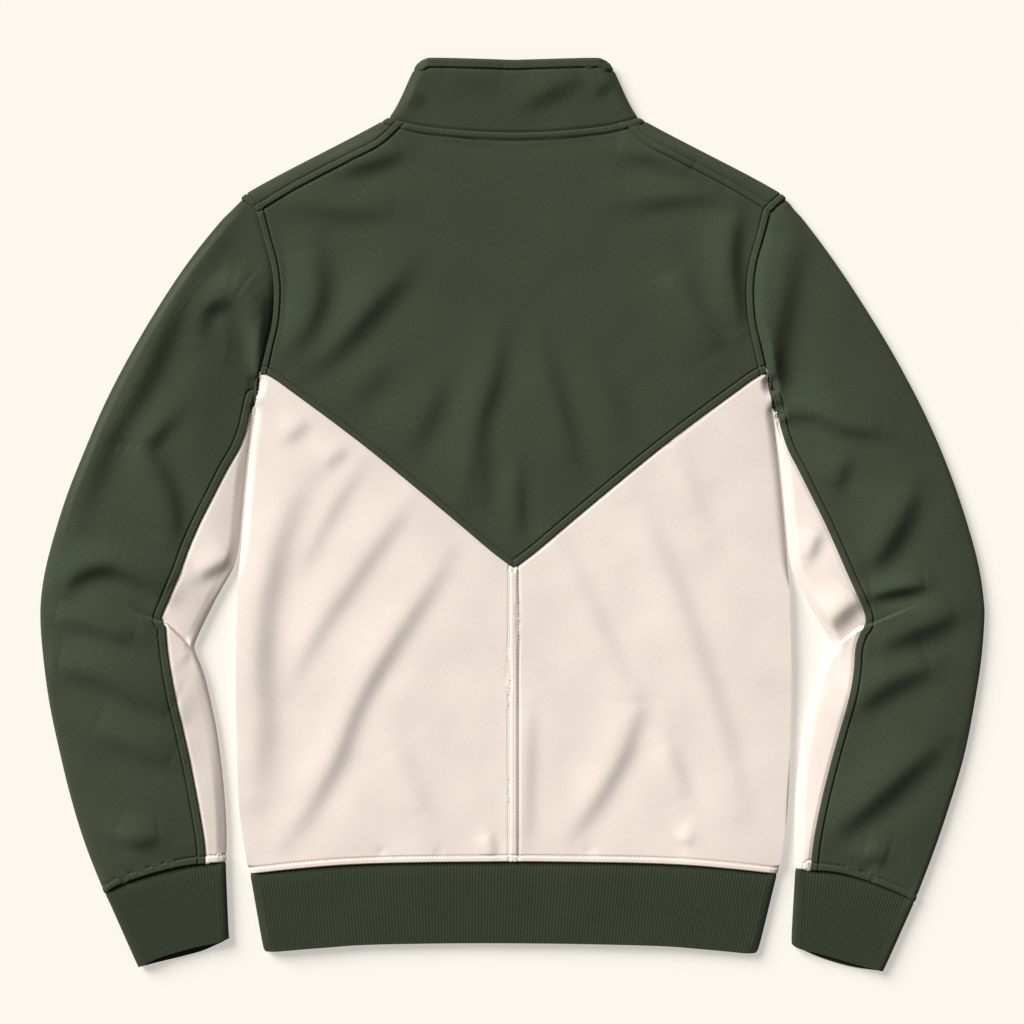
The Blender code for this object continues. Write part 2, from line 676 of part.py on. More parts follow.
def front_seam_points(side):
    sign = -1 if side == "left" else 1
    line = np.array([(sign * -ARMPIT[0], FRONT_SEAM_Y), (0, FRONT_SEAM_Y)], float)
    return divided(line, FRONT_CELLS, COARSE_STEPS, (0,))


def make_front_lower(material):
    rows = 8
    plan = patch(
        across_body(front_hem_points),
        across_body(front_seam_points),
        divided(EDGES["left"]["body_side"][::-1], rows),
        divided(EDGES["right"]["body_side"][::-1], rows),
    )
    plan = trimmed(plan, ("bottom", "top"))
    outer, inner = raise_front(plan, BODY_OUTLINES, split=SEAM_GAP / 2)
    return wall_object("front_lower", outer, inner, material)


def make_front_yoke(side, material):
    """From the shoulder seam on the back, over the shoulder, and down the front to its seam and the zip."""
    edges = EDGES[side]
    sign = -1 if side == "left" else 1
    outline = shoulder_points(side, "shoulder")
    strip = patch(shoulder_points(side), outline, armhole_strip_points(side)[::-1], neck_side_points(side)[::-1])
    strip = trimmed(trimmed(strip, ("bottom", "left", "right")), ("left",))
    welt = near_line(strip, edges["shoulder_seam"], 5.5) + near_line(strip, edges["armhole_strip"], WELT_WIDTH)
    back_outer, back_inner = raise_back(strip, BODY_OUTLINES, extra=WELT_RISE * np.minimum(welt, 1))
    armhole = front_armhole_points(side)
    neck = front_neck_points(side)
    zip_edge = np.array([neck[-1], (sign * ZIP_OPENING, FRONT_SEAM_Y)], float)
    front_edge = joined(neck, divided(zip_edge, len(armhole) - len(neck)))
    seam = np.array([(sign * -ARMPIT[0], FRONT_SEAM_Y), zip_edge[-1]], float)
    front = patch(outline, divided(seam, SHOULDER_CELLS, ROLL_STEPS, (0,)), armhole, front_edge)
    front = trimmed(trimmed(front, ("top", "left", "right")), ("left",))
    front_outer, front_inner = raise_front(front, BODY_OUTLINES)
    # The strip ends at the outline and the front begins there, so that row is taken once.
    outer = np.concatenate([back_outer, front_outer[1:]])
    inner = np.concatenate([back_inner, front_inner[1:]])
    return wall_object("front_yoke_" + side, outer, inner, material)


# ---------------------------------------------------------------- the sleeves
def section_rows(start, end, cells, near_start, near_end, pattern=None):
    """Points across each section, from its start point to its end point."""
    rows = []
    for first, last in zip(start, end):
        length = np.linalg.norm(last - first)
        places = spaced(length, cells, near_start, near_end)
        if pattern is not None:
            low, high = len(near_start) - 1, len(places) - len(near_end)
            places[low : high + 1] = places[low] + (places[high] - places[low]) * pattern
        rows.append(first + (last - first) * (places / length)[:, None])
    return np.array(rows)


def bent_rows(rows, wanted_first=None, wanted_last=None):
    """Bends the first and the last sections to the armhole's and the cuff's curves, and the next ones less and less."""
    bent = rows.copy()
    for wanted, places, reach in ((wanted_first, 1, 6), (wanted_last, -1, 5)):
        if wanted is None:
            continue
        for index in range(reach):
            row = index if places == 1 else len(rows) - 1 - index
            bent[row] += (wanted - rows[0 if places == 1 else -1]) * (1 - index / reach) ** 2
    return bent


def on_cuff_seam(side, row):
    """Moves the points of a sleeve's last section onto the curve of the cuff's seam."""
    seam = curve_through(CUFFS[side]["seam"])
    outer, inner = SECTIONS[side]["outer"][-1], SECTIONS[side]["inner"][-1]
    share = np.linalg.norm(row - outer, axis=1) / np.linalg.norm(inner - outer)
    return along(seam, share * run_of(seam)[-1])


def sleeve_plans(side):
    """The plans of the main and the under panel, each over the top and underneath, from armhole to cuff."""
    sections = SECTIONS[side]
    lower = {name: points[UNDER_PANEL_BEGINS:] for name, points in sections.items()}
    armhole = joined(armhole_strip_points(side), armhole_points(side))
    last_roll = len(ROLL_STEPS) - 1
    pattern = run_of(armhole)[last_roll : len(armhole) - last_roll]
    pattern = (pattern - pattern[0]) / (pattern[-1] - pattern[0])
    cells = len(pattern) - 1
    main_top = section_rows(sections["outer"], sections["seam"], cells, ROLL_STEPS, ROLL_STEPS, pattern)
    near_seam = (0, COARSE_STEPS[-1])
    main_low = section_rows(sections["outer"], sections["seam"], FRONT_ARMHOLE_CELLS, COARSE_STEPS, near_seam)
    under_top = section_rows(lower["seam"], lower["inner"], 2, (0,), ROLL_STEPS)
    under_low = section_rows(lower["seam"], lower["inner"], 1, (0,), COARSE_STEPS)
    return {
        "main_top": bent_rows(main_top, armhole, on_cuff_seam(side, main_top[-1])),
        "main_low": bent_rows(main_low, front_armhole_points(side), on_cuff_seam(side, main_low[-1])),
        "under_top": bent_rows(under_top, None, on_cuff_seam(side, under_top[-1])),
        "under_low": bent_rows(under_low, None, on_cuff_seam(side, under_low[-1])),
    }


def sleeve_ways(side, layer):
    """The way inwards along the sections, for the main panel and for the under one, so that their seam agrees."""
    main, under = PLANS[side]["main_" + layer], PLANS[side]["under_" + layer]
    turned_from = main.shape[1] // 2
    main_way = along_rows(main, turned_from)
    whole = along_rows(np.concatenate([main[UNDER_PANEL_BEGINS:], under[:, 1:]], axis=1), turned_from)
    main_way[UNDER_PANEL_BEGINS:] = whole[:, : main.shape[1]]
    return main_way, whole[:, main.shape[1] - 1 :]


def sleeve_edges(side):
    inner = SECTIONS[side]["inner"]
    return [OUTLINES[side], inner[::-1] if side == "left" else inner]


def make_sleeve_main(side, material):
    edges = sleeve_edges(side)
    plans = {}
    for layer in ("main_top", "main_low"):
        plan = trimmed(PLANS[side][layer], ("bottom", "top"))
        cut = trimmed(plan, ("right",))
        cut[:UNDER_PANEL_BEGINS] = plan[:UNDER_PANEL_BEGINS]
        plans[layer] = cut
    # Where the sleeve's own edges meet, above the under panel, its two layers are parted by the seam's gap.
    rows = len(plans["main_top"])
    split = (SEAM_GAP / 2 * (np.arange(rows) < UNDER_PANEL_BEGINS))[:, None] * np.ones(plans["main_top"].shape[1])
    far = nearest_on([OUTLINES[side]], plans["main_top"])[0] > 2 * BODY_ROLL
    welt = near_line(plans["main_top"], SECTIONS[side]["seam"][UNDER_PANEL_BEGINS:], 8.5)
    welt += near_line(plans["main_top"], PLANS[side]["main_top"][-1], 7)
    extra = WELT_RISE * np.minimum(welt, 1)
    way = sleeve_ways(side, "top")[0]
    back_outer, back_inner = raise_back(plans["main_top"], edges, split=split * far, extra=extra, way=way)
    far = nearest_on([OUTLINES[side]], plans["main_low"])[0] > 2 * BODY_ROLL
    low_split = split[:, :1] * far
    way = sleeve_ways(side, "low")[0]
    front_outer, front_inner = raise_front(plans["main_low"], edges, split=low_split, way=way)
    outer = np.concatenate([front_outer[:, :0:-1], back_outer], axis=1)
    inner = np.concatenate([front_inner[:, :0:-1], back_inner], axis=1)
    return wall_object(f"sleeve_{side}_main", outer, inner, material)


def make_sleeve_under(side, material):
    edges = sleeve_edges(side)
    top, low = (trimmed(PLANS[side][layer], ("top", "left")) for layer in ("under_top", "under_low"))
    welt = near_line(top, PLANS[side]["under_top"][-1], 7)
    back_outer, back_inner = raise_back(top, edges, extra=WELT_RISE * welt, way=sleeve_ways(side, "top")[1])
    front_outer, front_inner = raise_front(low, edges, way=sleeve_ways(side, "low")[1])
    outer = np.concatenate([back_outer, front_outer[:, -2::-1]], axis=1)
    inner = np.concatenate([back_inner, front_inner[:, -2::-1]], axis=1)
    return wall_object(f"sleeve_{side}_under", outer, inner, material)


# ---------------------------------------------------------------- ribbed bands
def ribbed_ring(name, seams, mouths, sides, top, middle, step, material):
    """A flat-lying tube of rib: ribs over its top, plain and flat underneath. Seams and mouths are (top, underneath)."""
    width = run_of(seams[0])[-1]
    across = 2 * int(round((width - 2 * ROLL_STEPS[-1]) / RIB_PITCH))
    ends = [divided(side, 1, (0, 3.0), (0, 3.0))[::-1] for side in sides]
    plans = []
    for seam, mouth, cells, steps in zip(seams, mouths, (across, max(4, int(width / 45))), (ROLL_STEPS, COARSE_STEPS)):
        plan = patch(divided(mouth, cells, steps, steps), divided(seam, cells, steps, steps), *ends)
        plans.append(trimmed(plan, ("top",)))
    first = len(ROLL_STEPS) - 1
    relief = np.zeros(plans[0].shape[:2])
    relief[:, first : first + across + 1 : 2] = -RIB_RISE / 2
    relief[:, first + 1 : first + across : 2] = RIB_RISE / 2
    relief[0] -= 0.9
    flat = dict(wall=RIB_WALL, middle=middle, roll=CUFF_ROLL)
    ways = [along_rows(plan, plan.shape[1] // 2) for plan in plans]
    back_outer, back_inner = raise_back(plans[0], sides, extra=relief, height=top, way=ways[0], **flat)
    front_outer, front_inner = raise_front(plans[1], sides, way=ways[1], **flat)
    outer = np.concatenate([back_outer, front_outer[:, -2:0:-1]], axis=1)
    inner = np.concatenate([back_inner, front_inner[:, -2:0:-1]], axis=1)
    kept = [*range(first), *range(first, first + across, step), *range(first + across, outer.shape[1])]
    return wall_object(name, outer, inner, material, kept=kept, ring=True)


def make_cuff(side, material):
    cuff = {name: curve_through(points) for name, points in CUFFS[side].items()}
    plans = PLANS[side]
    seams = [joined(plans["main_" + layer][-1], plans["under_" + layer][-1]) for layer in ("top", "low")]
    mouths = [cuff["mouth"], cuff["lower_mouth"]]
    sides = [cuff["outer_side"], cuff["inner_side"]]
    if side == "right":
        seams, mouths, sides = [line[::-1] for line in seams], [line[::-1] for line in mouths], sides[::-1]
    return ribbed_ring("cuff_" + side, seams, mouths, sides, CUFF_TOP, CUFF_MIDDLE, 8, material)


def make_hem_band(material):
    sides = [curve_through(HEM_SIDES[side]) for side in SIDES]
    mouth = curve_through(HEM_MOUTH + HEM_MOUTH_END)
    seams = [across_body(back_hem_points), across_body(front_hem_points)]
    return ribbed_ring("hem_band", seams, [mouth, mouth], sides, HEM_TOP, HEM_MIDDLE, 8, material)


# ---------------------------------------------------------------- the collar
def make_collar(material):
    """One doubled strip from zip to zip, folded flat at the two sides of the neck."""
    rows = 3, (0, 7), (0, 2.5, 7)
    sides = {side: divided(EDGES[side]["collar_side"], *rows) for side in SIDES}
    neck, top = {}, {}
    for side in SIDES:
        neck[side] = joined(neck_side_points(side), neck_back_points(side))
        top[side] = divided(EDGES[side]["collar_top"], NECK_CELLS + 1, ROLL_STEPS, (0,))
    back = patch(
        joined(neck["left"], neck["right"][::-1]), joined(top["left"], top["right"][::-1]), sides["left"], sides["right"]
    )
    back = trimmed(back, ("bottom",))
    round_off = np.zeros(back.shape[:2])
    round_off[-1] = -1.0
    outer, inner = raise_back(back, COLLAR_OUTLINES, wall=COLLAR_WALL, extra=round_off)
    fronts = {}
    for side in SIDES:
        bottom = front_neck_points(side)
        above = divided(EDGES[side]["front_collar_top"], 3, COARSE_STEPS, (0,))
        zip_edge = divided(np.array([bottom[-1], above[-1]]), *rows)
        front = trimmed(patch(bottom, above, sides[side], zip_edge), ("bottom",))
        fronts[side] = raise_front(front, COLLAR_OUTLINES, wall=COLLAR_WALL)
    outer = np.concatenate([fronts["left"][0][:, :0:-1], outer, fronts["right"][0][:, 1:]], axis=1)
    inner = np.concatenate([fronts["left"][1][:, :0:-1], inner, fronts["right"][1][:, 1:]], axis=1)
    return wall_object("collar", outer, inner, material)


# ---------------------------------------------------------------- the zip
def make_zip(tape_material, metal):
    half_chain = CHAIN_WIDTH / 2
    tape_top = ZIP_TOP - SLIDER_BRIDGE - SEAM_GAP
    for side, sign in (("left", -1), ("right", 1)):
        near, far = sign * (half_chain + SEAM_GAP), sign * (half_chain + SEAM_GAP + TAPE_WIDTH)
        low, high = min(near, far), max(near, far)
        box_object(
            "zip_tape_" + side, (low, ZIP_BOTTOM, TAPE_BOTTOM), (high, tape_top, TAPE_TOP), tape_material
        )
    box_object(
        "zip_chain", (-half_chain, ZIP_BOTTOM, CHAIN_BOTTOM), (half_chain, tape_top, CHAIN_TOP), tape_material
    )
    make_slider(metal)
    make_pull_tab(metal)


def profile_object(name, profile, half_width, material):
    """A flat profile in Y and Z, extruded across X."""
    count = len(profile)
    points = [(x, y, z) for x in (-half_width, half_width) for y, z in profile]
    faces = [tuple(range(count)), tuple(range(count, 2 * count))]
    faces += [(k, (k + 1) % count, count + (k + 1) % count, count + k) for k in range(count)]
    return new_object(name, np.array(points, float), faces, material)


def unite(body, extra):
    modifier = body.modifiers.new("Join " + extra.name, "BOOLEAN")
    modifier.operation = "UNION"
    modifier.object = extra
    extra.hide_render = True
    extra.display_type = "WIRE"


def make_slider(metal):
    """Two plates joined at the top end by a bridge, with two lugs that hold the pull tab."""
    low_y, high_y, bridge_y = ZIP_TOP - SLIDER_LENGTH, ZIP_TOP, ZIP_TOP - SLIDER_BRIDGE
    inner_low, inner_high = SLIDER_BOTTOM + SLIDER_PLATE, SLIDER_TOP - SLIDER_PLATE
    profile = [
        (low_y, SLIDER_BOTTOM),
        (high_y, SLIDER_BOTTOM),
        (high_y, SLIDER_TOP),
        (low_y, SLIDER_TOP),
        (low_y, inner_high),
        (bridge_y, inner_high),
        (bridge_y, inner_low),
        (low_y, inner_low),
    ]
    slider = profile_object("zip_slider", profile, SLIDER_WIDTH / 2, metal)
    for sign in (-1, 1):
        low_x, high_x = sorted((sign * LUG_INNER, sign * LUG_OUTER))
        lug = box_object(
            f"lug_{sign + 1}",
            (low_x, PIVOT_Y - 1, 0.15),
            (high_x, PIVOT_Y + 1, SLIDER_BOTTOM + SLIDER_PLATE / 2),
            metal,
        )
        unite(slider, lug)


def make_pull_tab(metal):
    """A flat tab on a small barrel, which turns between the lugs."""
    barrel_sides = 12
    angles = [2 * np.pi * k / barrel_sides for k in range(barrel_sides)]
    barrel_profile = [(PIVOT_Y + TAB_BARREL * np.cos(a), PIVOT_Z + TAB_BARREL * np.sin(a)) for a in angles]
    tab = profile_object("pull_tab", barrel_profile, LUG_INNER - SEAM_GAP, metal)
    low_z, high_z = PIVOT_Z - TAB_THICKNESS / 2, PIVOT_Z + TAB_THICKNESS / 2
    neck = box_object(
        "tab_neck", (-1.3, PIVOT_Y - 3, low_z), (1.3, PIVOT_Y, high_z), metal
    )
    blade = box_object(
        "tab_blade",
        (-TAB_WIDTH / 2, PIVOT_Y - TAB_LENGTH, low_z),
        (TAB_WIDTH / 2, PIVOT_Y - 2, high_z),
        metal,
    )
    unite(tab, neck)
    unite(tab, blade)


# ---------------------------------------------------------------- build
for leftover in list(bpy.data.objects):
    bpy.data.objects.remove(leftover)

SIDES = ("left", "right")
EDGES = {side: half_edges(side) for side in SIDES}
SECTIONS = {side: sleeve_sections(side) for side in SIDES}
# Each outline runs so that the cloth is on its left.
OUTLINES = {
    side: joined(EDGES[side]["collar_side"][::-1], EDGES[side]["shoulder"][::-1], SECTIONS[side]["outer"])
    for side in SIDES
}
OUTLINES["right"] = OUTLINES["right"][::-1]
BODY_OUTLINES = [OUTLINES["left"], OUTLINES["right"], EDGES["left"]["body_side"], EDGES["right"]["body_side"][::-1]]
PLANS = {side: sleeve_plans(side) for side in SIDES}
COLLAR_OUTLINES = [OUTLINES["left"], OUTLINES["right"]]

green = cloth_material("green_double_knit", GREEN)
rib_green = cloth_material("green_rib", RIB_GREEN)
cream = cloth_material("cream_double_knit", CREAM)
tape = cloth_material("zip_tape", GREEN_TAPE)
metal = cloth_material("zip_metal", METAL, roughness=0.35, metallic=1.0)

make_back_yoke(green)
make_front_lower(cream)
make_collar(green)
make_hem_band(rib_green)
for half in SIDES:
    make_back_lower(half, cream)
    make_front_yoke(half, green)
    make_sleeve_main(half, green)
    make_sleeve_under(half, cream)
    make_cuff(half, rib_green)
make_zip(tape, metal)
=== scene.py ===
# %% [markdown]
# # A quarter-zip sweatshirt laid flat, back up
# The garment lies face down on a pale surface and is seen from straight above. Its cloth is knitted: smooth dark
# green double knit for the yoke, the collar and the upper side of the sleeves, smooth cream double knit for the
# lower body and under the arms, and a green rib for the cuffs and the hem band. The CAD model gives the place and
# the cut of each piece. This script gives each one its folds, seams, stitches and surface.

# %% The frame
import math

import bpy
import numpy as np
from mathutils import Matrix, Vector
from mathutils.bvhtree import BVHTree
from mathutils.kdtree import KDTree


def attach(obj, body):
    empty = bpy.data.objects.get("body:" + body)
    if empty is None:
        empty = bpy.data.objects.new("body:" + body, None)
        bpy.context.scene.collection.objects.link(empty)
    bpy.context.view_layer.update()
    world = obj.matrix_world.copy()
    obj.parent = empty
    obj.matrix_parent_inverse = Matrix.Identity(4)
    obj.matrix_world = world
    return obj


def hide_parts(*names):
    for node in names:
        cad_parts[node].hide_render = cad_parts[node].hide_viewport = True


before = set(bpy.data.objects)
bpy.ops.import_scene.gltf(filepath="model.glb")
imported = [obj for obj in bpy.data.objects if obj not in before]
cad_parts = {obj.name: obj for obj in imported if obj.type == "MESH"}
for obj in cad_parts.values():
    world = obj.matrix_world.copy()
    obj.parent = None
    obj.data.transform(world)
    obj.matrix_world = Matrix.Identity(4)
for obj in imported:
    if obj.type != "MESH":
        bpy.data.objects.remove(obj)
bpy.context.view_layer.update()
MM = 0.001


# %% [markdown]
# ## The camera
# The photograph looks straight down, with the collar at the top. A long lens a little over two metres up gives
# the same nearly parallel view, with 0.87 mm to a pixel at the height of the cloth.

# %% Camera
PHOTO_PIXELS = 1024
MM_PER_PIXEL = 0.87
CLOTH_HEIGHT = 8.0  # mm, where that scale holds
LENS, SENSOR = 85.0, 36.0
VIEW_CENTRE = (-0.4, 2.9)  # mm, the point under the camera

camera_distance = PHOTO_PIXELS * MM_PER_PIXEL * MM * LENS / SENSOR
bpy.ops.object.camera_add(
    location=(VIEW_CENTRE[0] * MM, VIEW_CENTRE[1] * MM, camera_distance + CLOTH_HEIGHT * MM), rotation=(0, 0, 0)
)
camera = bpy.context.object
camera.name = "camera"
camera.data.lens = LENS
camera.data.sensor_width = SENSOR
bpy.context.scene.camera = camera
print("camera height, m:", round(camera.location.z, 4))


# %% [markdown]
# ## Materials
# A material starts from what the real one is. Each colour is an sRGB hex value, one function turns it to the
# linear values that the renderer works in, and one function adds a node with its settings and links. Patterns
# read Object coordinates, which are metres here, so a scale is one over a real size.

# %% Helpers for materials
def linear(hex_colour):
    values = [int(hex_colour[i : i + 2], 16) / 255 for i in (1, 3, 5)]
    return [v / 12.92 if v <= 0.04045 else ((v + 0.055) / 1.055) ** 2.4 for v in values] + [1.0]


def set_up(node, **settings):
    """Settings name the node's properties or its inputs."""
    for name, value in settings.items():
        if hasattr(node, name):
            setattr(node, name, value)
        else:
            node.inputs[name.replace("_", " ")].default_value = value


def add_node(tree, kind, links=None, **settings):
    """A node of that kind with its settings. links give inputs their sources."""
    node = tree.nodes.new(kind)
    set_up(node, **settings)
    for name, source in (links or {}).items():
        tree.links.new(source, node.inputs[name])
    return node


def new_material(name):
    material = bpy.data.materials.new(name)
    material.use_nodes = True
    tree = material.node_tree
    return material, tree, tree.nodes["Principled BSDF"]


print("middle grey in linear values:", [round(value, 3) for value in linear("#808080")])


# %% [markdown]
# ### Knit
# The body cloth is a cotton double knit, knitted fine and brushed lightly, so it is matt, with a soft fuzz that
# catches light at grazing angles: high roughness and a little sheen. Its loops are under a millimetre and wouldn't
# show in the picture, so they are drawn as coarse as they have to be to show: a maze of short slanting ridges, where
# each small square of cloth has a ridge along one of its two diagonals. Dyed yarn also varies slowly over a hand's
# width.

# %% Knit material
LOOP_CELL = 3.6  # mm, one square of the maze; the real loops are 0.8 mm
LOOP_BEND = 0.55  # of a cell, how crooked the ridges are
LOOP_BEND_SIZE = 8.0  # mm
RIDGE_WIDTH = 0.34  # of a cell
FUZZ = 1.2  # mm
YARN_PATCH = 45.0  # mm, slow change of the dye
KNIT_RELIEF = 0.02  # mm


def loop_ridges(tree, place):
    """A maze of slanting ridges, 1 on a ridge's crest and 0 between ridges."""
    bend = add_node(tree, "ShaderNodeTexNoise", {"Vector": place}, Scale=1 / (LOOP_BEND_SIZE * MM), Detail=1.0)
    bend = add_node(tree, "ShaderNodeVectorMath", {0: bend.outputs["Color"]}, operation="SCALE", Scale=2 * LOOP_BEND)
    cells = add_node(tree, "ShaderNodeVectorMath", {0: place}, operation="SCALE", Scale=1 / (LOOP_CELL * MM))
    spot = add_node(tree, "ShaderNodeVectorMath", {0: cells.outputs[0], 1: bend.outputs[0]}, operation="ADD")
    cell = add_node(tree, "ShaderNodeVectorMath", {0: spot.outputs[0]}, operation="FLOOR")
    chance = add_node(tree, "ShaderNodeTexWhiteNoise", {"Vector": cell.outputs[0]}, noise_dimensions="2D")
    inside = add_node(tree, "ShaderNodeVectorMath", {0: spot.outputs[0]}, operation="FRACTION")
    parts = add_node(tree, "ShaderNodeSeparateXYZ", {"Vector": inside.outputs[0]}).outputs
    gaps = []
    for operation, shift in (("SUBTRACT", 0.0), ("ADD", -1.0)):
        line = add_node(tree, "ShaderNodeMath", {0: parts["X"], 1: parts["Y"]}, operation=operation)
        moved = add_node(tree, "ShaderNodeMath", {0: line.outputs[0]}, operation="ADD")
        moved.inputs[1].default_value = shift
        gaps.append(add_node(tree, "ShaderNodeMath", {0: moved.outputs[0]}, operation="ABSOLUTE").outputs[0])
    turned = add_node(tree, "ShaderNodeMath", {0: chance.outputs["Value"]}, operation="GREATER_THAN")
    turned.inputs[1].default_value = 0.5
    gap = add_node(tree, "ShaderNodeMix", {"Factor": turned.outputs[0], "A": gaps[0], "B": gaps[1]})
    return add_node(
        tree, "ShaderNodeMapRange", {"Value": gap.outputs["Result"]}, interpolation_type="SMOOTHSTEP",
        From_Min=0.0, From_Max=RIDGE_WIDTH, To_Min=1.0, To_Max=0.0,
    ).outputs["Result"]


def knit_material(name, ground, ridge, roughness, sheen, maze=0.6):
    material, tree, shader = new_material(name)
    place = add_node(tree, "ShaderNodeTexCoord").outputs["Object"]
    ridges = loop_ridges(tree, place)
    fuzz = add_node(
        tree, "ShaderNodeTexNoise", {"Vector": place}, Scale=1 / (FUZZ * MM), Detail=1.5, Roughness=0.6
    ).outputs["Fac"]
    patches = add_node(
        tree, "ShaderNodeTexNoise", {"Vector": place}, Scale=1 / (YARN_PATCH * MM), Detail=3.0
    ).outputs["Fac"]
    surface = add_node(tree, "ShaderNodeMix", {"A": fuzz, "B": ridges}, Factor=maze).outputs["Result"]
    ramp = add_node(tree, "ShaderNodeValToRGB", {"Fac": surface})
    stops = ramp.color_ramp.elements
    stops[0].position, stops[0].color = 0.15, linear(ground)
    stops[1].position, stops[1].color = 0.85, linear(ridge)
    shade = add_node(
        tree, "ShaderNodeMapRange", {"Value": patches}, From_Min=0.3, From_Max=0.7, To_Min=0.97, To_Max=1.03
    ).outputs["Result"]
    colour = add_node(
        tree, "ShaderNodeVectorMath", {0: ramp.outputs["Color"], 1: shade}, operation="MULTIPLY"
    ).outputs["Vector"]
    tree.links.new(colour, shader.inputs["Base Color"])
    bump = add_node(tree, "ShaderNodeBump", {"Height": surface}, Strength=1.0, Distance=KNIT_RELIEF * MM)
    tree.links.new(bump.outputs["Normal"], shader.inputs["Normal"])
    set_up(shader, Roughness=roughness, Sheen_Weight=sheen, Sheen_Roughness=0.6, Specular_IOR_Level=0.15)
    return material


GREEN_KNIT = knit_material("green cotton double knit, piece-dyed", "#384030", "#3f4737", 0.95, 0.06)
CREAM_KNIT = knit_material("cream cotton double knit, undyed", "#e7dbd1", "#ebe1d7", 0.95, 0.03)
GREEN_RIB = knit_material("green cotton 1 x 1 rib, piece-dyed", "#2c3425", "#353e2e", 0.95, 0.06, maze=0.25)
print("knit materials:", GREEN_KNIT.name, "/", CREAM_KNIT.name, "/", GREEN_RIB.name)


# %% [markdown]
# ### Thread, tape and metal
# Seams are sewn with a spun polyester thread, dark green on the green cloth and beige on the cream. Both colours are
# painted darker than the thread is, as painted shade of the groove that the stitches lie in. The zip has a woven
# polyester tape, and its slider and pull tab are zinc castings with a dark satin coat.

# %% Thread, tape and metal materials
THREAD_TWIST, TAPE_WEAVE, TAPE_RELIEF, CAST_GRAIN = 0.5, 0.6, 0.08, 1.2  # mm


def thread_material(name, colour):
    material, tree, shader = new_material(name)
    place = add_node(tree, "ShaderNodeTexCoord").outputs["Object"]
    twist = add_node(tree, "ShaderNodeTexNoise", {"Vector": place}, Scale=1 / (THREAD_TWIST * MM), Detail=1.0)
    shade = add_node(
        tree, "ShaderNodeMapRange", {"Value": twist.outputs["Fac"]}, From_Min=0.3, From_Max=0.7, To_Min=0.8, To_Max=1.2
    ).outputs["Result"]
    base = add_node(tree, "ShaderNodeRGB")
    base.outputs[0].default_value = linear(colour)
    tint = add_node(tree, "ShaderNodeVectorMath", {0: base.outputs[0], 1: shade}, operation="MULTIPLY")
    tree.links.new(tint.outputs["Vector"], shader.inputs["Base Color"])
    set_up(shader, Roughness=0.7)
    return material


def tape_material(name, colour, light):
    material, tree, shader = new_material(name)
    place = add_node(tree, "ShaderNodeTexCoord").outputs["Object"]
    weave = add_node(
        tree, "ShaderNodeTexWave", {"Vector": place}, wave_type="BANDS", bands_direction="DIAGONAL",
        Scale=1 / (TAPE_WEAVE * MM * math.tau), Distortion=0.6, Detail=1.0,
    ).outputs["Fac"]
    ramp = add_node(tree, "ShaderNodeValToRGB", {"Fac": weave})
    ramp.color_ramp.elements[0].color = linear(colour)
    ramp.color_ramp.elements[1].color = linear(light)
    tree.links.new(ramp.outputs["Color"], shader.inputs["Base Color"])
    bump = add_node(tree, "ShaderNodeBump", {"Height": weave}, Strength=0.6, Distance=TAPE_RELIEF * MM)
    tree.links.new(bump.outputs["Normal"], shader.inputs["Normal"])
    set_up(shader, Roughness=0.8)
    return material


def metal_material(name, colour, worn):
    material, tree, shader = new_material(name)
    place = add_node(tree, "ShaderNodeTexCoord").outputs["Object"]
    grain = add_node(
        tree, "ShaderNodeTexNoise", {"Vector": place}, Scale=1 / (CAST_GRAIN * MM), Detail=4.0
    ).outputs["Fac"]
    ramp = add_node(tree, "ShaderNodeValToRGB", {"Fac": grain})
    ramp.color_ramp.elements[0].position, ramp.color_ramp.elements[0].color = 0.35, linear(colour)
    ramp.color_ramp.elements[1].position, ramp.color_ramp.elements[1].color = 0.75, linear(worn)
    tree.links.new(ramp.outputs["Color"], shader.inputs["Base Color"])
    rough = add_node(
        tree, "ShaderNodeMapRange", {"Value": grain}, From_Min=0.3, From_Max=0.7, To_Min=0.3, To_Max=0.48
    )
    tree.links.new(rough.outputs["Result"], shader.inputs["Roughness"])
    set_up(shader, Metallic=1.0)
    return material


# Painted shade: each thread keeps its own hue but is painted darker, standing in for the shade in the stitched groove.
GREEN_THREAD_AND_GROOVE_SHADE = thread_material("dark green spun polyester thread with painted groove shade", "#171d11")
CREAM_THREAD_AND_GROOVE_SHADE = thread_material("beige spun polyester thread with painted groove shade", "#a8927a")
ZIP_TAPE = tape_material("woven polyester zip tape", "#2c3425", "#424b38")
ZIP_COIL = thread_material("moulded polyester coil", "#2a3124")
ZIP_METAL = metal_material("zinc casting with a dark satin coat", "#33362f", "#6b6e66")
print("other materials:", len(bpy.data.materials))


# %% [markdown]
# ## Cloth from the CAD walls
# A CAD wall is a closed solid with an outer and an inner face. The scene's cloth starts as the outer face alone:
# the wall's copy is merged, its sharp rims are marked, and only the faces that one seed face reaches without crossing
# a rim are kept. Subdividing that open sheet keeps the cut of the piece and its place.

# %% Outer sheet of a wall
MERGE = 0.02  # mm
RIM_ANGLE = 62.0  # degrees; the rolled edges turn by 52 at most, the rims by 90
TUBE_DEPTH, WALL_MOST = 15.0, 4.0  # mm, more than a tube's hollow, and more than a wall
SMALL_FACE, MIDDLE = 4, 5  # mm2, and mm, a height between the two layers
MISSED_ROUNDS = 4  # for small faces that the rays missed, with outer faces on two sides


def select_only(thing):
    bpy.ops.object.select_all(action="DESELECT")
    thing.select_set(True)
    bpy.context.view_layer.objects.active = thing


def edit_faces(thing, chosen):
    """Goes into edit mode with only those faces selected."""
    select_only(thing)
    bpy.ops.object.mode_set(mode="EDIT")
    bpy.ops.mesh.select_mode(type="FACE")
    bpy.ops.mesh.select_all(action="DESELECT")
    bpy.ops.object.mode_set(mode="OBJECT")
    thing.data.polygons.foreach_set("select", chosen)
    bpy.ops.object.mode_set(mode="EDIT")


